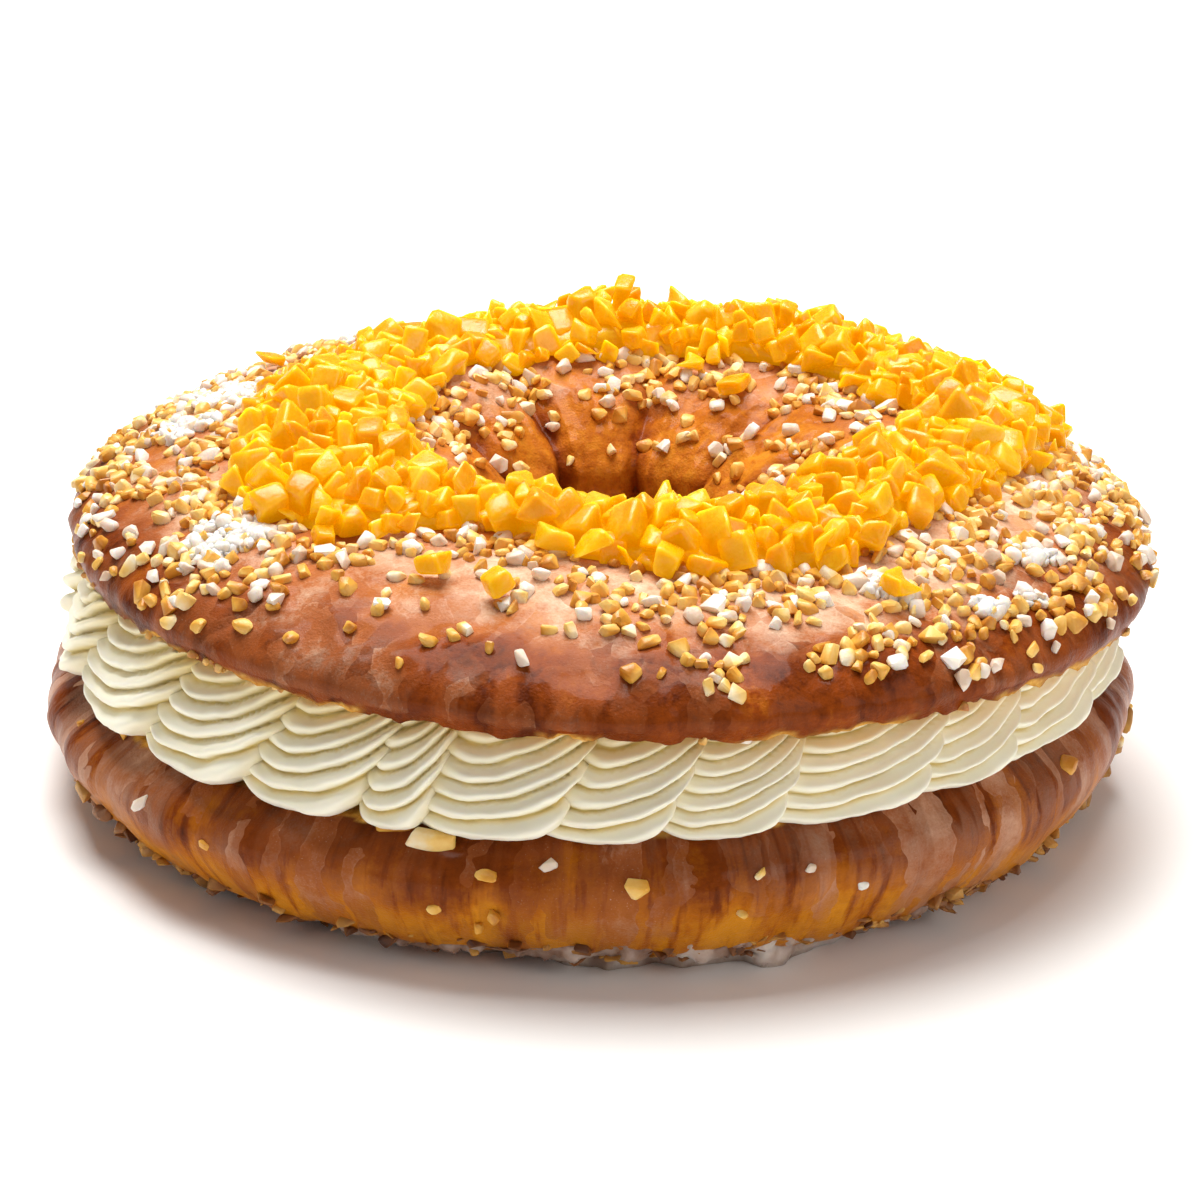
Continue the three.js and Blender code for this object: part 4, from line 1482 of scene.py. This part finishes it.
def footSpots(look):
    random = np.random.default_rng(look["seed"])
    tries = look["count"] * 3
    angle = random.uniform(0, turn, tries)
    crowd = 0.5 + 0.9 * noise(ringPath(angle, foot["path"], 0 * angle), foot["crowd"], look["seed"])
    angle = angle[random.uniform(0, 1, tries) < crowd][: look["count"]]
    count = len(angle)
    size = look["smallest"] + (look["largest"] - look["smallest"]) * random.uniform(0, 1, count) ** 2
    height = foot["height"] * random.uniform(0, 1, count) ** 2 + 0.75 * size
    out = look["reach"] * random.uniform(0, 1, count) ** 1.6 * ease(4.0, 1.5, height)
    place = wallPlace(angle, wallRadius(angle, height) + 0.2 + out, height)
    return drawSpots(random, place, size, (0, 1), foot["turns"])


# build

trees = {"strew": strewTree(), "set": setTree()}
cream, orange = creamFinish(), orangeFinish()
almondSkin, sugarWhite, icingWhite, footWhite, crumbBrown, crumbGold = map(grainFinish, grainLooks)

lowerPiece = makeLowerHalf()
upperPiece, *upperGrid = makeUpperHalf()
upperPoints, _, onCrust = upperGrid
creamPiece = makeCream(cream)
creamCorePiece = makeCreamCore(cream)
cutDice = diceSet()
orangePiece = makeOrange(upperPoints, cutDice, orange)
orangeCorePiece = makeOrangeCore(upperPoints, orange)
loosePiece = makeLooseOrange(cutDice, orange)

nuts = chunkSet("nut", count=18, seed=41, boxy=0.72, extra=3, bevel=0.085,
                shape=[(0.75, 1.25), (0.6, 1.0), (0.5, 0.9)])
pearls = chunkSet("pearl", count=16, seed=43, boxy=0.62, extra=6, bevel=0.07,
                  shape=[(0.8, 1.25), (0.65, 1.0), (0.55, 0.9)])
grains = lumpSet("grain", count=12, seed=44, uneven=0.75, shape=[(0.8, 1.3), (0.65, 1.0), (0.5, 0.85)])
flakes = chunkSet("flake", count=8, seed=47, boxy=0.8, extra=2, bevel=0.06,
                  shape=[(0.9, 1.5), (0.5, 1.0), (0.25, 0.5)])

topping = toppingDensity(*upperGrid)
almondPiece = strew("chopped_almonds", upperPiece, topping, nuts, almondSkin, almond)
sugarPiece = strew("pearl_sugar", upperPiece, topping, pearls, sugarWhite, sugar)
icingPiece = strew("icing_clumps", upperPiece, icingDensity(upperPoints, onCrust), grains, icingWhite, icing)
bitsPiece = setChunks("lower_nuts", wallSpots(wallNuts, 71), nuts, almondSkin)
flakePiece = setChunks("lower_flakes", wallSpots(wallFlakes, 72), flakes, almondSkin)
lowerSugarPiece = setChunks("lower_sugar", wallSpots(wallSugar, 73), pearls, sugarWhite)
footPiece = setChunks("foot_crumbs", footSpots(footCrumbs), flakes, crumbBrown)
footChunkPiece = setChunks("foot_chunks", footSpots(footChunks), nuts, crumbBrown)
clumpPiece = setChunks("foot_clumps", wallSpots(footClumps, 74), nuts, crumbBrown)
footIcingPiece = makeSkirt(footWhite)
rimPiece = strew("rim_crumbs", upperPiece, rimDensity(*upperGrid), nuts, crumbGold, rimCrumbs)
for group in (cutDice, nuts, pearls, grains, flakes):
    dropSet(group)

# each piece with the slot it stands for, attached to the cake's root body
for piece, slot in [
    (lowerPiece, "crust"), (upperPiece, "crust"), (creamPiece, "cream"), (creamCorePiece, "cream"),
    (orangePiece, "candied_orange"), (orangeCorePiece, "candied_orange"), (loosePiece, "candied_orange"),
    (almondPiece, "almond"), (sugarPiece, "sugar"), (icingPiece, "sugar"), (bitsPiece, "almond"),
    (lowerSugarPiece, "sugar"), (flakePiece, "almond"), (footPiece, "crust"), (footChunkPiece, "almond"),
    (clumpPiece, "crust"), (rimPiece, "crust"), (footIcingPiece, "sugar"),
]:
    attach(piece, "root")
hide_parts("lower_half")
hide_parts("upper_half")
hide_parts("cream_filling")
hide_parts("candied_orange")
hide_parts(*looseNodes)
print("pieces ride on the cake")

# floor, light and camera, in metres

floorLook = {"side": 14.0, "scale": 1.5, "pale": (0.92, 0.915, 0.91, 1), "paler": (0.94, 0.935, 0.93, 1)}


def makeFloor():
    finish, tree, shader, place = startFinish("floor")
    soft = addGrain(tree, place, floorLook["scale"], 2.0)
    pale = mixColour(tree, soft, floorLook["pale"], floorLook["paler"])
    setShader(shader, {"Base Color": pale, "Roughness": 0.7})
    half = floorLook["side"] / 2
    mesh = bpy.data.meshes.new("floor")
    edge = [(-half, -half, 0), (half, -half, 0), (half, half, 0), (-half, half, 0)]
    mesh.from_pydata(edge, [], [(0, 1, 2, 3)])
    mesh.materials.append(finish)
    linkPiece("floor", mesh)


softboxes = [
    {"name": "top softbox", "at": (-0.16, 0.56, 1.93), "size": 1.45, "watts": 75.0,
     "tint": (1.0, 0.985, 0.96)},
    {"name": "left softbox", "at": (-1.2, -1.0, 0.8), "size": 0.9, "watts": 1.8, "tint": (1.0, 0.98, 0.96)},
    {"name": "right softbox", "at": (1.2, -0.9, 0.8), "size": 0.9, "watts": 6.5, "tint": (1.0, 0.97, 0.93)},
]
softboxAim = Vector((0, 0, 0.05))
sky = {"Color": (1.0, 0.99, 0.98, 1), "Strength": 0.2}


def makeLights():
    for box in softboxes:
        light = bpy.data.lights.new(box["name"], "AREA")
        light.shape = "SQUARE"
        light.size = box["size"]
        light.energy = box["watts"]
        light.color = box["tint"]
        lamp = linkPiece(box["name"], light)
        lamp.location = box["at"]
        lamp.rotation_euler = (softboxAim - lamp.location).to_track_quat("-Z", "Y").to_euler()
    world = bpy.data.worlds.new("studio")
    world.use_nodes = True
    setShader(world.node_tree.nodes["Background"], sky)
    bpy.context.scene.world = world


view = {
    "aim": (0.0, 0.0, 0.047),
    "distance": 0.890,
    "elevation": 20.5,  # degrees
    "roll": 1.45,  # degrees
    "lens": 96.0,  # millimetres
    "sensor": 36.0,  # millimetres
}


def makeCamera():
    lens = bpy.data.cameras.new("camera")
    lens.lens = view["lens"]
    lens.sensor_width = view["sensor"]
    lens.clip_start = 0.01
    camera = linkPiece("camera", lens)
    up = math.radians(view["elevation"])
    back = Vector((0, -math.cos(up), math.sin(up)))
    camera.location = Vector(view["aim"]) + back * view["distance"]
    facing = (-back).to_track_quat("-Z", "Y")
    roll = Quaternion((0, 0, 1), math.radians(view["roll"]))
    camera.rotation_euler = (facing @ roll).to_euler()
    bpy.context.scene.camera = camera


makeFloor()
makeLights()
makeCamera()
bpy.context.scene.view_settings.view_transform = "Standard"
print("floor, light and camera in place")
